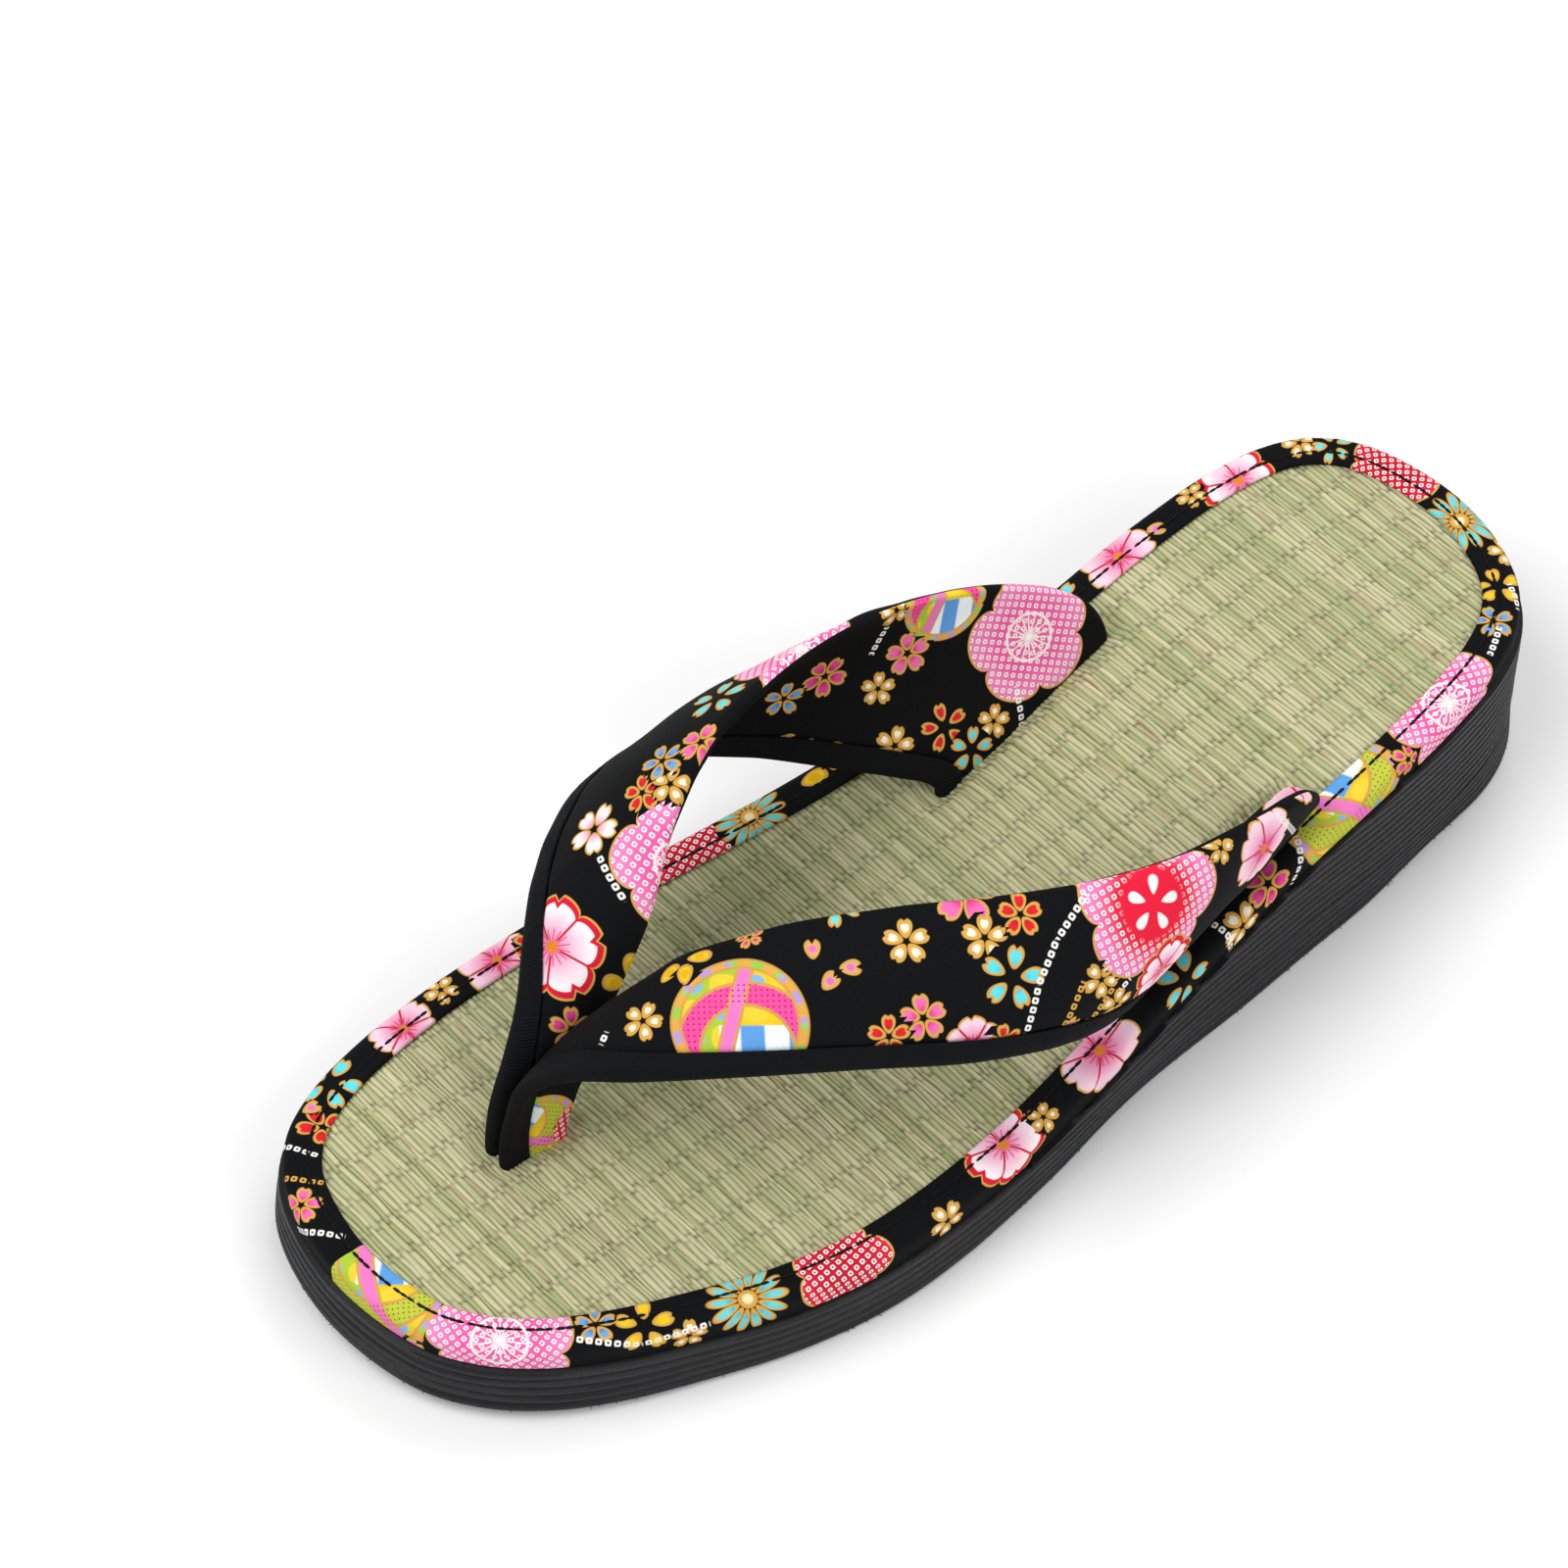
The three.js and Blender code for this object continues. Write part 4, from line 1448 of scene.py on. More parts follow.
LOOKS: dict[str, Look] = {
    "cream": Look(Motif.PETALS, 3.7, "fdf6e4", "e9b96a", width=0.3, notch=0.12, line=0.55),
    "red": Look(Motif.PETALS, 3.6, "e0242f", "b4242c", width=0.3, notch=0.1, line=0.4),
    "magenta": Look(Motif.PETALS, 3.6, "e8489a", "b01f55", width=0.31, notch=0.12, line=0.42),
    "pink": Look(Motif.PETALS, 3.8, "f06fb2", "d8347f", width=0.32, notch=0.12, line=0.4),
    "pale": Look(Motif.PETALS, 5.0, "fff0f2", "f3a9cf", width=0.33, notch=0.14, line=0.3),
    "blue": Look(Motif.PETALS, 4.0, "6aa6e6", "3f6fb4", width=0.27, notch=0.1, line=0.4),
    "turquoise": Look(
        Motif.PETALS, 5.4, "5fe0ec", "49b9cf", centre=0.62, half=0.36, width=0.24, notch=0.16,
        line=0.42,
    ),
    "red_apart": Look(
        Motif.PETALS, 4.6, "dc2432", "c01f2c", centre=0.62, half=0.36, width=0.23, notch=0.14,
        line=0.4,
    ),
    "yellow": Look(
        Motif.PETALS, 4.8, "f2cb22", "e0a916", centre=0.62, half=0.36, width=0.24, notch=0.1,
        line=0.4,
    ),
    "leaf": Look(
        Motif.PETALS, 2.1, "f4cf1c", "e8b414", petals=1, centre=0.0, half=1.0, width=0.62, line=0.4
    ),
    "amber": Look(
        Motif.PETALS, 2.1, "e99418", "d98010", petals=1, centre=0.0, half=1.0, width=0.6, line=0.4
    ),
    "petal": Look(
        Motif.PETALS, 1.75, "f6a9d0", "d97ab0", petals=1, centre=0.0, half=1.0, width=0.72,
        notch=0.25, line=0.55,
    ),
    "daisy": Look(
        Motif.PETALS, 7.0, "74d3d6", "2f9fa8", petals=14, centre=0.62, half=0.38, width=0.125,
        line=0.28,
    ),
    "sakura": Look(
        Motif.BLOSSOM, 8.6, "fff3f6", "f47fb8", "d9a64e", notch=0.13, band=1.0, half=0.22
    ),
    "rosy": Look(Motif.BLOSSOM, 8.0, "fbd3e4", "ee5f9f", "d9a64e", notch=0.13, band=0.0, half=0.22),
    "kanoko": Look(Motif.KANOKO, 12.6, "f285bd", "ee1f3f", half=0.24, centre=1.0),
    "kanoko_pink": Look(Motif.KANOKO, 12.0, "f285bd", "ee5fa6", half=0.24, centre=0.0),
    "kanoko_red": Look(Motif.KANOKO, 9.0, "dd2440", "c81a34", half=0.24, centre=0.5),
    "temari": Look(Motif.TEMARI, 10.9, "f2529f", "e9c91f"),
    "temari_green": Look(Motif.TEMARI, 10.9, "b9cf3c", "e8c52a"),
    "dots": Look(Motif.DOTS, 10.0, "f6f4ee", half=1.55),
    "gold_dots": Look(Motif.DOTS, 5.0, "d9a64e", half=1.55),
}

# look, u and v on the cloth in mm, turn in degrees, size against the usual one
Stamp = tuple[str, float, float, float, float]


def moved(stamps: tuple[Stamp, ...], du: float, dv: float) -> tuple[Stamp, ...]:
    """The same motifs further along the cloth, for faces that repeat the print."""
    return tuple((look, u + du, v + dv, turn, size) for look, u, v, turn, size in stamps)


POST_LINING: tuple[Stamp, ...] = (
    ("temari_green", 508.0, 4.5, 40, 0.90), ("kanoko_red", 505.5, 14.5, 40, 0.60),
    ("rosy", 642.0, 107.0, 40, 0.95), ("rosy", 128.5, 110.5, 20, 0.50),
)
OUTER_FRONT: tuple[Stamp, ...] = (
    ("temari", 56.9, 26.4, 31, 1.00), ("cream", 43.1, 19.5, 24, 0.95),
    ("leaf", 42.2, 28.9, 89, 1.00), ("leaf", 45.0, 29.6, 124, 1.00), ("leaf", 45.0, 33.6, 33, 1.00),
    ("petal", 60.8, 42.8, 124, 1.00), ("petal", 67.4, 43.2, 37, 1.00),
    ("petal", 65.7, 39.6, 81, 1.00), ("cream", 72.8, 51.5, 52, 1.05),
    ("turquoise", 60.1, 51.5, -64, 0.80), ("pink", 76.8, 63.4, -100, 1.50),
    ("red", 86.1, 64.9, 51, 1.05), ("cream", 83.0, 58.6, 47, 1.05),
    ("turquoise", 89.8, 55.5, 111, 1.00), ("pink", 80.9, 42.4, 132, 1.05),
    ("red", 77.8, 37.0, 124, 1.00), ("rosy", 90.5, 43.1, 132, 0.62), ("red", 94.7, 46.2, 136, 0.90),
    ("cream", 103.3, 63.2, 97, 0.95), ("cream", 109.9, 61.3, 56, 0.95),
    ("petal", 104.1, 54.5, 93, 0.90), ("kanoko", 104.5, 78.1, -167, 1.05),
    ("rosy", 123.5, 96.6, -175, 0.95), ("cream", 111.5, 92.1, 42, 0.80),
    ("magenta", 50.5, 40.2, 65, 0.70), ("temari", 8.8, 15.4, 61, 1.00),
)
OUTER_LINES: tuple[Stamp, ...] = (
    ("sakura", 116.5, 70.5, -157, 0.85), ("dots", 93.4, 69.1, -95, 0.47),
    ("dots", 93.5, 60.6, -82, 0.38), ("dots", 95.6, 53.0, -68, 0.41),
    ("gold_dots", 101.8, 57.1, -75, 0.88), ("gold_dots", 106.9, 59.5, -82, 0.81),
    ("dots", 38.3, 14.4, -87, 0.11), ("dots", 130.9, 102.3, 0, 0.93),
    ("dots", 108.2, 64.8, -98, 0.12),
)
INNER_FRONT: tuple[Stamp, ...] = (
    ("sakura", 38.5, 17.9, 98, 1.00), ("leaf", 32.1, 29.1, 13, 1.05),
    ("leaf", 30.4, 25.6, -56, 1.05), ("amber", 26.2, 26.7, 75, 1.05),
    ("magenta", 25.7, 16.5, 16, 1.05), ("kanoko_pink", 45.7, 41.7, 5, 0.90),
    ("pale", 55.3, 29.3, 39, 1.00), ("red", 58.1, 39.2, 77, 1.00), ("cream", 58.3, 44.1, 92, 0.95),
    ("blue", 63.2, 43.0, 57, 1.00), ("pink", 64.7, 49.9, 95, 1.10),
    ("turquoise", 76.5, 50.7, 5, 1.00), ("kanoko_pink", 88.3, 62.5, 30, 1.00),
)
INNER_LINES: tuple[Stamp, ...] = (
    ("dots", 46.2, 30.7, 168, 0.40), ("rosy", 21.0, 21.2, 48, 0.70),
)
INNER_BACK: tuple[Stamp, ...] = (
    ("magenta", 605.2, 55.7, 87, 1.25), ("blue", 600.9, 48.9, 48, 1.00),
    ("pink", 617.3, 65.6, 56, 1.15), ("cream", 616.1, 57.8, 47, 0.90),
    ("cream", 624.4, 50.4, 106, 1.00), ("cream", 639.4, 62.0, 42, 0.90),
    ("cream", 608.1, 72.4, 55, 1.00), ("red_apart", 631.2, 57.2, 65, 1.00),
    ("turquoise", 638.1, 55.9, 44, 0.80), ("kanoko_pink", 637.4, 77.8, 65, 1.00),
    ("temari", 617.3, 77.1, 29, 0.75), ("petal", 607.0, 42.2, 54, 1.00),
    ("petal", 611.6, 43.2, 94, 1.00), ("petal", 616.1, 45.2, 178, 1.00),
)
INNER_BACK_LINES: tuple[Stamp, ...] = (
    ("dots", 609.9, 65.7, -75, 0.31), ("dots", 643.1, 66.1, -47, 0.43),
)
BINDING_STAMPS: tuple[Stamp, ...] = (
    ("rosy", 495.8, 2.8, -177, 0.90), ("red", 489.5, 1.9, -144, 0.90),
    ("rosy", 517.4, 2.4, 159, 0.80), ("cream", 507.2, 4.1, -136, 0.90),
    ("turquoise", 534.3, 4.3, 171, 1.10), ("red", 543.9, 0.9, -153, 1.35),
    ("petal", 540.5, 4.4, -148, 1.00), ("pink", 562.6, 5.3, -77, 1.00),
    ("temari_green", 8.6, 3.8, -40, 1.15), ("petal", 18.3, 11.0, -54, 1.20),
    ("kanoko_pink", 33.1, 4.7, -96, 1.10), ("blue", 49.6, 2.5, -12, 0.95),
    ("yellow", 57.5, 4.5, -8, 1.10), ("cream", 64.3, 8.3, -9, 0.90), ("daisy", 75.1, 4.3, 6, 1.00),
    ("kanoko_red", 92.4, 5.1, -64, 1.00), ("cream", 112.3, 7.8, 30, 1.00),
    ("sakura", 128.2, 3.2, 22, 0.95), ("rosy", 152.0, 3.6, 29, 1.00),
    ("cream", 136.6, 4.6, 26, 0.80), ("turquoise", 170.9, 6.4, 20, 1.00),
    ("cream", 184.4, 7.5, 31, 1.15), ("magenta", 191.8, 5.3, 28, 1.25),
    ("temari_green", 211.3, 3.9, -18, 1.10), ("magenta", 224.5, 6.6, 24, 0.90),
    ("kanoko_pink", 237.2, 4.6, -12, 1.00), ("blue", 258.0, 2.6, 43, 1.00),
    ("yellow", 267.6, 2.7, 65, 1.00), ("cream", 275.8, 6.8, 68, 1.00),
    ("daisy", 285.5, 2.5, 101, 1.05), ("kanoko_red", 303.2, 2.3, 101, 1.05),
    ("cream", 323.4, 4.6, 155, 1.00), ("turquoise", 316.8, 3.8, 139, 0.80),
    ("sakura", 338.5, 1.4, -159, 0.95), ("cream", 347.4, 4.0, -136, 0.80),
    ("rosy", 365.4, 2.8, -169, 0.90), ("petal", 356.7, 2.6, -150, 1.00),
    ("kanoko_red", 455.7, 4.5, -169, 1.00), ("daisy", 443.3, 3.4, -171, 0.95),
    ("leaf", 430.0, 3.8, -178, 1.20), ("leaf", 425.5, 5.4, 110, 1.20),
    ("sakura", 468.0, 4.5, 20, 0.70), ("turquoise", 379.0, 3.6, 20, 0.90),
    ("kanoko_pink", 392.0, 5.0, 70, 0.75), ("cream", 404.5, 3.8, 30, 1.00),
    ("magenta", 412.0, 7.0, 0, 1.00), ("blue", 418.5, 2.8, 50, 1.00),
    ("cream", 480.0, 4.6, 10, 1.00),
)
BINDING_OVER: tuple[Stamp, ...] = (
    ("dots", 550.4, 4.1, -70, 0.37), ("gold_dots", 557.7, 3.5, -62, 0.69),
    ("dots", 567.3, 7.0, -47, 0.72), ("dots", 51.0, 6.1, 16, 0.56), ("dots", 62.2, 7.2, -4, 0.58),
    ("dots", 181.4, 8.1, 83, 0.50), ("dots", 198.7, 6.5, 123, 0.43), ("dots", 253.6, 4.3, -7, 0.33),
    ("dots", 265.3, 5.6, -18, 0.28),
)
OUTER_STAMPS = OUTER_FRONT + INNER_BACK + moved(INNER_FRONT[1:6], FACE_OFFSET + 8, 6) + POST_LINING
OUTER_OVER = OUTER_LINES + INNER_BACK_LINES
INNER_STAMPS = INNER_FRONT + INNER_BACK + moved(OUTER_FRONT[8:14] + OUTER_FRONT[21:24], 34, -9)
INNER_OVER = INNER_LINES + INNER_BACK_LINES + moved(OUTER_LINES[:4], 34, -9)


def stamp_on(piece: bpy.types.Object, layer: str, stamps: tuple[Stamp, ...]) -> None:
    """Write a table of motifs onto a cloth piece: each face gets the motif that covers it.

    Args:
        piece: the cloth, with its flat coordinates in the UV map "cloth".
        layer: name of the print layer.
        stamps: the motifs, later ones over earlier ones.
    """
    mesh = piece.data
    middle, corners, owner = face_centres(mesh, "cloth")
    chosen = np.full(len(middle), -1)
    best = np.full(len(middle), 1e9)
    for k, (name, u, v, turn, size) in enumerate(stamps):
        look = LOOKS[name]
        reach = look.radius * size
        away = np.hypot(middle[:, 0] - u, middle[:, 1] - v)
        if look.motif is Motif.DOTS:
            c, s = math.cos(math.radians(turn)), math.sin(math.radians(turn))
            x = (middle[:, 0] - u) * c + (middle[:, 1] - v) * s
            y = -(middle[:, 0] - u) * s + (middle[:, 1] - v) * c
            away = np.maximum(np.abs(y) - 0.4, np.abs(x) - reach)
            reach = 1.0
        score = away / reach
        take = (score < 1.12 if reach > 2.5 else score < 1.7) & (score < best + 0.35)
        take &= (score < best) | (score < 0.98)
        chosen[take] = k
        best[take] = score[take]
    used = np.where(chosen < 0, len(stamps), chosen)
    rows = []
    for name, u, v, turn, size in [*stamps, ("cream", 0.0, 0.0, 0.0, 0.0)]:
        look = LOOKS[name]
        radius = max(look.radius * size, 1e-3)
        kind = look.motif.value if size else 0
        rows.append(
            [u, v, math.radians(turn), look.petals, look.centre * radius, look.half * radius,
             look.width * radius, look.notch, radius, kind, look.band, look.line,
             *srgb(look.fill), *srgb(look.core), *srgb(look.rim)]
        )
    table = np.array(rows)[used]
    at = table[owner]
    dx, dy = corners[:, 0] - at[:, 0], corners[:, 1] - at[:, 1]
    c, s = np.cos(at[:, 2]), np.sin(at[:, 2])
    local = np.column_stack([dx * c + dy * s, -dx * s + dy * c])
    local[used[owner] == len(stamps)] = 900.0
    made = mesh.uv_layers.new(name=f"{layer}_at")
    made.data.foreach_set("uv", local.astype(np.float32).ravel())
    for k, name in enumerate(("shape", "width", "kind", "fill", "core", "rim"), 1):
        made = mesh.attributes.new(f"{layer}_{name}", "FLOAT_VECTOR", "FACE")
        made.data.foreach_set("vector", table[:, 3 * k : 3 * k + 3].astype(np.float32).ravel())


@dataclass(frozen=True)
class PrintedCotton:
    """Black cotton printed with blossoms, kanoko, temari and dotted lines outlined in gold."""

    name: str = "printed_cotton"
    ground: str = "08090b"
    gold: str = "d3a04c"
    white: str = "fbf8f2"
    soft: float = 0.16
    thread: float = 0.42
    kanoko_pitch: float = 1.42
    dot_pitch: float = 1.55

    def _layer(self, board: Board, layer: str) -> tuple[bpy.types.NodeSocket, Num]:
        """Draw one print layer.

        Args:
            board: the material.
            layer: name of the layer.

        Returns:
            Its colour, and where it covers the cloth.
        """
        x, y, _ = board.layer(f"{layer}_at")
        petals, centre, half = board.split(board.attribute(f"{layer}_shape"))
        width, notch, radius = board.split(board.attribute(f"{layer}_width"))
        kind, band, line = board.split(board.attribute(f"{layer}_kind"))
        fill, core, rim = (board.attribute(f"{layer}_{k}") for k in ("fill", "core", "rim"))
        soft = self.soft
        is_petal, is_blossom, is_kanoko, is_temari, is_dots = (
            (1 - (kind - float(motif.value)).size()).clamped() for motif in list(Motif)[1:]
        )
        r = (x * x + y * y).of("SQRT")
        near = r / radius
        turn = y.of("ARCTAN2", x)
        sector = petals.of("POWER", -1.0) * (2 * math.pi)
        wrapped = turn.cell(sector).size()
        # petals: ellipses along each axis, or a single one along x
        single = petals.below(1.5, 0.5)
        ahead = r * wrapped.of("COSINE") * (1 - single) + x * single
        aside = r * wrapped.of("SINE") * (1 - single) + y.size() * single
        along = (ahead - centre) / half
        across = aside / (width * (1 + along * 0.28)).most(0.05)
        ellipse = (along * along + across * across).of("SQRT")
        cut = notch * (1 - (across * 3.2).least(1.0)) * along.above(0.3, 0.4) * 2.2
        petal_in = (1 - ellipse - cut) * width.least(half)
        petal = board.mix(near.above(0.42, 0.3), core, fill)
        button = near.below(0.24, 0.04) * petals.above(9.0, 1.0)
        heart = board.mix(near.below(0.13, 0.05), rim, "f4e6b4")
        colour = board.mix(button, board.mix(petal_in.above(line, soft), rim, petal), heart)
        cover = petal_in.above(0.0, soft).most(button) * is_petal
        # blossoms: a lobed outline, graded petals, stamens and a rim band
        q = wrapped / (sector * 0.5)
        lobe = (1 - q * q).most(0.0).of("SQRT")
        tip = (1 - (q * 5.5).least(1.0)) * notch
        blossom_in = radius * (1 - half / radius + half / radius * lobe - tip) - r
        edge = blossom_in.below(0.38, soft)
        stamen = (turn.cell(sector / 3.0).size() * r).below(0.1, 0.1) * near.below(0.36, 0.06)
        seam = ((sector * 0.5 - wrapped) * r).below(0.2, soft) * near.above(0.16, 0.05)
        blossom = board.paint(
            board.mix(near.above(0.42, 0.62), core, fill),
            (seam.most(stamen * 0.8), "c5283d"),
            (near.below(0.12, 0.04), "e0832c"),
            (blossom_in.below(band + 0.4, soft) * band.above(0.2, 0.1), "dc1f36"),
            (edge, rim),
        )
        colour = board.mix(is_blossom, colour, blossom)
        cover = cover.most(blossom_in.above(0.0, soft) * (is_blossom + is_kanoko).clamped())
        # kanoko: rows of small rings, with drops or a burst in the middle
        diagonal, pitch = 0.7071, self.kanoko_pitch
        gx = ((x + y) * diagonal).cell(pitch).size()
        gy = ((x - y) * diagonal).cell(pitch).size()
        square = gx.most(gy) * 0.55 + (gx * gx + gy * gy).of("SQRT") * 0.45
        dropped = centre.above(8.0, 0.5)
        rings = square.above(0.19, 0.08) * square.below(0.43, 0.1)
        rings = rings * (1 - (1 - near.above(0.47, 0.1)) * dropped)
        drop_at = (ahead - radius * 0.24) / (radius * 0.115)
        drop_side = aside / (radius * 0.062) / (1 + drop_at * 0.45).most(0.2)
        drop = (drop_at * drop_at + drop_side * drop_side).below(1.0, 0.4) * dropped
        burst = (turn.cell(math.pi / 9).size() * r).below(0.13, 0.12) * near.below(0.34, 0.04)
        burst = burst.most((near - 0.36).size().below(0.02, 0.02)) * centre.below(1.0, 0.5)
        kanoko = board.paint(
            board.mix(near.above(0.66, 0.3), core, fill),
            (rings, self.white),
            (drop.most(burst * 0.9), self.white),
            (edge, rim),
        )
        colour = board.mix(is_kanoko, colour, kanoko)
        ball = self._temari(board, (x, y, radius), turn, near, (fill, core))
        colour = board.mix(is_temari, colour, ball)
        cover = cover.most(near.below(1.0, 0.02) * is_temari)
        # dotted lines: rounded square rings
        lx, ly = x.cell(self.dot_pitch).size(), y.size()
        tile = lx.most(ly) * 0.6 + (lx * lx + ly * ly).of("SQRT") * 0.4
        chain = tile.above(0.2, 0.1) * tile.below(0.56, 0.12) * x.size().below(radius, 0.3)
        return board.mix(is_dots, colour, fill), cover.most(chain * is_dots)

    def _temari(
        self, board: Board, at: tuple[Num, Num, Num], turn: Num, near: Num, looks: tuple
    ) -> bpy.types.NodeSocket:
        """Draw a thread ball: halves, patches, a sweep, a stripe and a sash between gold lines.

        Args:
            board: the material.
            at: local place and the ball's radius.
            turn: angle round the ball.
            near: distance from its middle as a share of the radius.
            looks: colours of the sweep and of one half.

        Returns:
            The ball's colour.
        """
        x, y, radius = at
        fill, core = looks
        bx, by = x / radius, y / radius
        patches = (bx * 7.0).of("SINE") * (by * 8.0).of("SINE")
        sky = board.mix((bx * 9.0).of("SINE").above(0.0, 0.3), "eef6fb", "5f9fe0")
        right, low = bx - 0.1, by + 0.42
        sweep = ((right * right + low * low).of("SQRT") - 0.86).size()
        stripe = (bx + 0.12 + by * -0.28).size()
        speck = (x.cell(0.9).size() + y.cell(0.9).size()).below(0.22, 0.1)
        cells = turn.cell(0.42).size().above(0.1, 0.04)
        trim = board.mix((turn * 3.7).of("SINE").above(0.0, 0.5), "8fd04a", "b79be0")
        return board.paint(
            "a9c93c",
            (bx.above(0.02, 0.02), core),
            (patches.above(0.25, 0.2), "f0cf3a"),
            (patches.below(-0.45, 0.2), "7fb6ea"),
            (by.below(-0.02, 0.03) * bx.above(-0.3, 0.02), sky),
            (sweep.below(0.17, 0.02), fill),
            ((sweep - 0.17).size().below(0.025, 0.02), self.gold),
            (stripe.below(0.1, 0.02), "ee7cc4"),
            ((stripe - 0.11).size().below(0.022, 0.02), self.gold),
            (speck * sweep.below(0.15, 0.02), "c41f60"),
            (near.above(0.84, 0.02), board.mix(cells, trim, "e2a94e")),
            ((near - 0.85).size().below(0.022, 0.02), self.gold),
            (near.above(0.965, 0.02), self.gold),
        )

    def material(self) -> bpy.types.Material:
        """Put the cloth together.

        Returns:
            The material.
        """
        board = Board(self.name)
        u, v, _ = board.layer("cloth")
        flat = board.vector(u, v, 0.0)
        speck = board.noise(flat, 1.6, 4.0)
        colour = board.mix(speck.above(0.66, 0.2) * 0.4, self.ground, "17181c")
        for layer in ("under", "over"):
            drawn, cover = self._layer(board, layer)
            colour = board.mix(cover, colour, drawn)
        wave = 2 * math.pi / self.thread
        weave = (u * wave).of("SINE") * (v * wave).of("SINE")
        fade = board.noise(flat, 0.25, 2.0)
        colour = board.shade(colour, 0.9 + weave * 0.06 + fade * 0.14)
        height = weave * 0.05 + board.noise(flat, 3.0, 3.0) * 0.05
        return board.finish(colour, 0.8, height, 0.55, shine=0.12)


# The other finishes


@dataclass(frozen=True)
class BlackFoam:
    """Moulded black foam, matt, with a fine grain, pale wear on the ribs and painted shade in the
    grooves.
    """

    name: str = "black_foam"
    dark: str = "08080a"
    worn: str = "1b1b20"
    pitch: float = RIB_PITCH

    def material(self) -> bpy.types.Material:
        """Put the foam together.

        Returns:
            The material.
        """
        board = Board(self.name)
        place = board.place()
        grain = board.noise(place, 900.0, 3.0)
        u, z, _ = board.layer("side")
        streak = board.noise(board.vector(u * 0.02, z * 1.3, 0.0), 1.0, 4.0)
        wear = board.noise(place, 60.0, 4.0)
        rib = z / self.pitch
        land = board.noise(board.vector(u * 0.012, rib.of("FLOOR") * 7.3, 0.0), 1.0, 1.0)
        colour = board.mix(
            (streak * 0.7 + wear * 0.3 + land * 1.3 - 0.75).clamped(), self.dark, self.worn
        )
        # painted shade: the deepest part of each groove is coloured near black
        groove = (rib.of("FRACT") - 0.5).size().above(0.4, 0.06)
        colour = board.mix(groove, colour, "010102")
        relief = grain * 0.35 + wear * 0.1
        return board.finish(colour, 0.42 + grain * 0.2, relief, 0.35, shine=0.3)


@dataclass(frozen=True)
class Rush:
    """Dried rush: pale green to tan reeds, each its own tone, with painted shade in the gaps
    between reeds, darkest at the warps.
    """

    name: str = "rush"
    green: str = "a1a871"
    straw: str = "d2cba2"
    brown: str = "8f7c4c"
    # colour of the painted shade between reeds and at the warps
    gap: str = "3d3a22"

    def material(self) -> bpy.types.Material:
        """Put the rush together.

        Returns:
            The material.
        """
        board = Board(self.name)
        x, y, _ = board.layer("reed")
        tint, reed_shade, _ = board.layer("reed_tint_and_shade")
        along = board.noise(board.vector(x * 0.13, y * 1.1, 0.0), 1.0, 3.0)
        fibre = board.noise(board.vector(x * 0.25, y * 7.0, 0.0), 1.0, 3.0)
        broad = board.noise(board.vector(x, y, 0.0), 0.035, 2.0)
        mixed = (tint * 0.8 + along * 0.6 + broad * 0.3 - 0.38).clamped()
        colour = board.paint(
            board.mix(mixed, self.green, self.straw),
            (tint.above(1.0, 0.04) * along.above(0.45, 0.2) * 0.55, self.brown),
            # painted shade: the gaps between reeds and the dips under the warps
            ((reed_shade * 1.25 - 0.08).clamped() * 0.76, self.gap),
        )
        colour = board.shade(colour, 0.78 + fibre * 0.4)
        return board.finish(colour, 0.5 + fibre * 0.15, fibre * 0.2, 0.4)


@dataclass(frozen=True)
class BiasTape:
    """Black bias tape with a fine rib across it."""

    name: str = "bias_tape"
    dark: str = "060709"

    def material(self) -> bpy.types.Material:
        """Put the tape together.

        Returns:
            The material.
        """
        board = Board(self.name)
        u, v, _ = board.layer("tape")
        flat = board.vector(u, v, 0.0)
        rib = ((u * 0.94 + v * 0.34) * (2 * math.pi / 0.5)).of("SINE")
        fray = board.noise(flat, 1.4, 4.0)
        colour = board.mix((fray * 0.6 + rib * 0.12).clamped() * 0.5, self.dark, "111318")
        return board.finish(colour, 0.8, rib * 0.09 + fray * 0.1, 0.6, shine=0.14)


@dataclass(frozen=True)
class Thread:
    """Black sewing thread with a slight shine."""

    name: str = "black_thread"

    def material(self) -> bpy.types.Material:
        """Put the thread together.

        Returns:
            The material.
        """
        board = Board(self.name)
        twist = board.noise(board.place(), 2600.0, 2.0)
        colour = board.mix(twist, "030304", "0a0a0c")
        return board.finish(colour, 0.6, twist * 0.2, 0.4, shine=0.15)


# Floor, light and camera


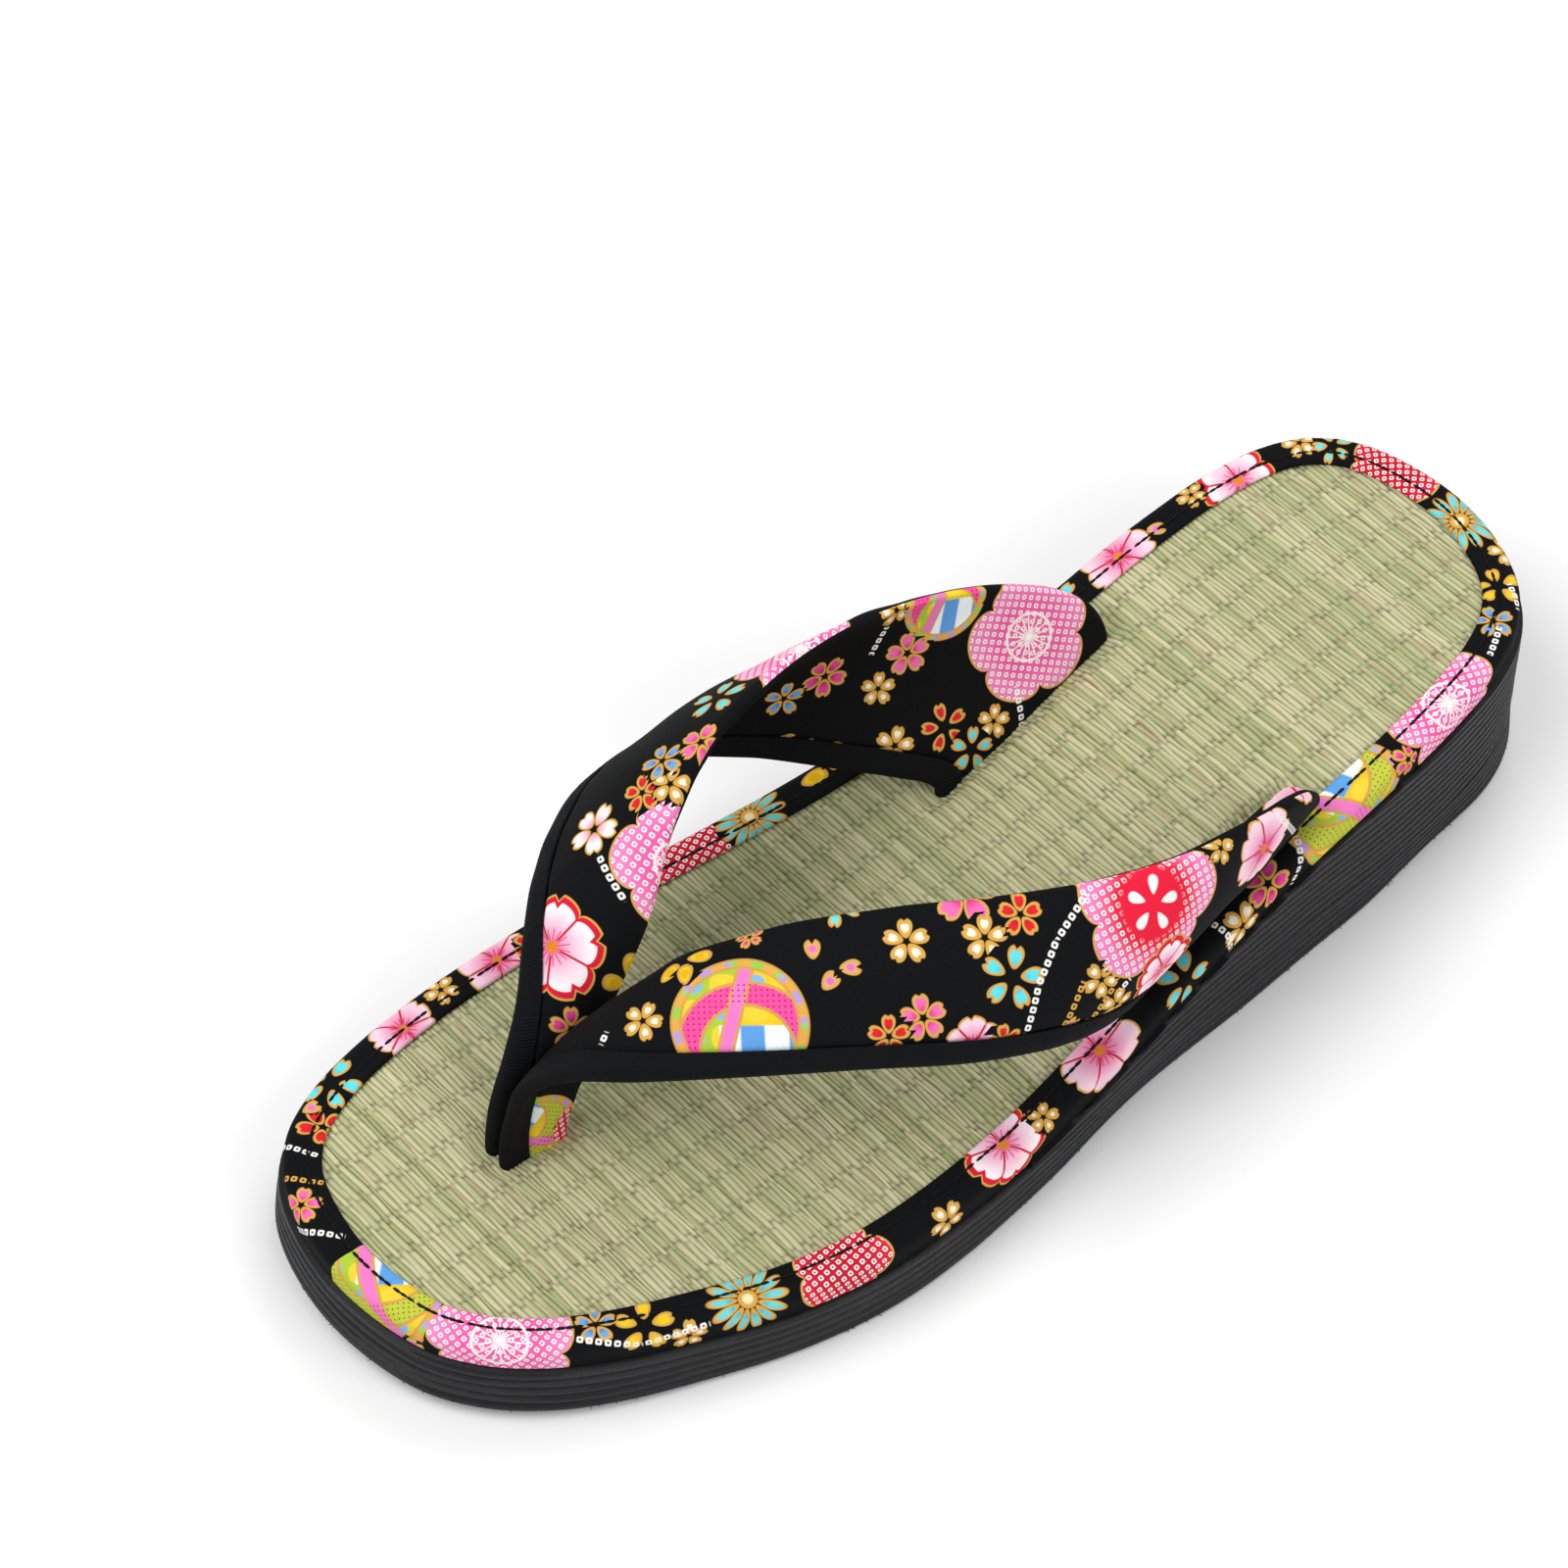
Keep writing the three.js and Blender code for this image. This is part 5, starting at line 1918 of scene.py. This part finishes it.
@dataclass
class Studio:
    """A pale floor, soft lamps and the camera."""

    floor_size: float = 2.4
    # azimuth and elevation in degrees, distance from the middle in m, width in m, power in W
    lamps: tuple[tuple[str, float, float, float, float, float], ...] = (
        ("key_light", -20.0, 58.0, 1.3, 0.9, 10.0),
        ("side_light", 100.0, 40.0, 1.3, 0.8, 6.0),
        ("back_light", 205.0, 50.0, 1.4, 0.9, 6.0),
    )
    sky: float = 0.43
    azimuth: float = 52.08
    elevation: float = 52.87
    roll: float = -1.23
    distance: float = 0.9158
    target: tuple[float, float, float] = (-0.049337, 0.006232, 0.0)
    lens: float = 117.74

    @staticmethod
    def _axes(azimuth: float, elevation: float) -> tuple[Vector, Vector, Vector]:
        """Right, up and backward directions of a view.

        Args:
            azimuth: where it is seen from, in degrees round the sandal.
            elevation: how high it is seen from, in degrees.

        Returns:
            The three directions.
        """
        a, e = math.radians(azimuth), math.radians(elevation)
        right = Vector((math.cos(a), math.sin(a), 0))
        back = Vector((math.sin(a) * math.cos(e), -math.cos(a) * math.cos(e), math.sin(e)))
        return right, back.cross(right), back

    def build(self) -> None:
        """Set up floor, lamps, sky and camera."""
        Workbench.clear()
        bpy.ops.mesh.primitive_plane_add(size=self.floor_size, location=(0, 0, -0.0002))
        floor = bpy.context.active_object
        floor.name = "studio_floor"
        Workbench.settle(floor)
        floor.data.materials.append(Board("floor_paper").finish("f4f4f4", 0.9))
        for name, azimuth, elevation, away, width, power in self.lamps:
            right, up, back = self._axes(azimuth, elevation)
            data = bpy.data.lights.new(name, "AREA")
            data.shape = "SQUARE"
            data.size = width
            data.energy = power
            lamp = bpy.data.objects.new(name, data)
            lamp.matrix_world = self._matrix(right, up, back, back * away)
            bpy.context.scene.collection.objects.link(lamp)
        world = bpy.data.worlds.new("studio_sky")
        world.use_nodes = True
        background = world.node_tree.nodes["Background"].inputs
        background["Color"].default_value = (1, 1, 1, 1)
        background["Strength"].default_value = self.sky
        bpy.context.scene.world = world
        bpy.context.scene.view_settings.view_transform = "Standard"
        self._camera()

    @staticmethod
    def _matrix(right: Vector, up: Vector, back: Vector, place: Vector) -> Matrix:
        """A placing matrix from its axes and place.

        Args:
            right: its x axis.
            up: its y axis.
            back: its z axis.
            place: its place.

        Returns:
            The matrix.
        """
        columns = Matrix((right, up, back)).transposed().to_4x4()
        columns.translation = place
        return columns

    def _camera(self) -> None:
        """Place the camera at the photograph's angle."""
        right, up, back = self._axes(self.azimuth, self.elevation)
        roll = math.radians(self.roll)
        turned = right * math.cos(roll) + up * math.sin(roll)
        upright = up * math.cos(roll) - right * math.sin(roll)
        data = bpy.data.cameras.new("camera")
        data.lens = self.lens
        data.sensor_width = 36.0
        data.sensor_fit = "HORIZONTAL"
        data.clip_start = 0.05
        camera = bpy.data.objects.new("camera", data)
        place = Vector(self.target) + back * self.distance
        camera.matrix_world = self._matrix(turned, upright, back, place)
        bpy.context.scene.collection.objects.link(camera)
        bpy.context.scene.camera = camera


# The sandal


@dataclass
class Sandal:
    """The whole sandal, built from the floor up."""

    foam: BlackFoam = field(default_factory=BlackFoam)
    rush: Rush = field(default_factory=Rush)
    cotton: PrintedCotton = field(default_factory=PrintedCotton)
    tape: BiasTape = field(default_factory=BiasTape)
    thread: Thread = field(default_factory=Thread)

    def build(self) -> None:
        """Build every piece in order."""
        thread = self.thread.material()
        tape = self.tape.material()
        cotton = self.cotton.material()
        FoamSole().build(self.foam.material())
        RushMat().build(self.rush.material())
        binding = FootbedBinding()
        cloth = binding.build()
        stamp_on(cloth, "under", BINDING_STAMPS)
        stamp_on(cloth, "over", BINDING_OVER)
        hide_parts("insole_binding")
        Workbench.hand_over(cloth, cotton, "print")
        binding.sew(thread)
        for band, name, under, over in (
            (OUTER_BAND, "strap_outer_half", OUTER_STAMPS, OUTER_OVER),
            (INNER_BAND, "strap_inner_half", INNER_STAMPS, INNER_OVER),
        ):
            half = StrapHalf(band, name).build()
            stamp_on(half, "under", under)
            stamp_on(half, "over", over)
            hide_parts("strap")
            Workbench.hand_over(half, cotton, "strap_print")
        BiasBinding(OUTER_BAND, "bias_outer", "strap_binding_lateral").build(tape, thread)
        BiasBinding(INNER_BAND, "bias_inner", "strap_binding_medial").build(tape, thread)


def main() -> None:
    """Build the sandal and the studio."""
    logging.basicConfig(level=logging.INFO, format="%(name)s: %(message)s")
    Sandal().build()
    Studio().build()


if __name__ == "__main__":
    main()
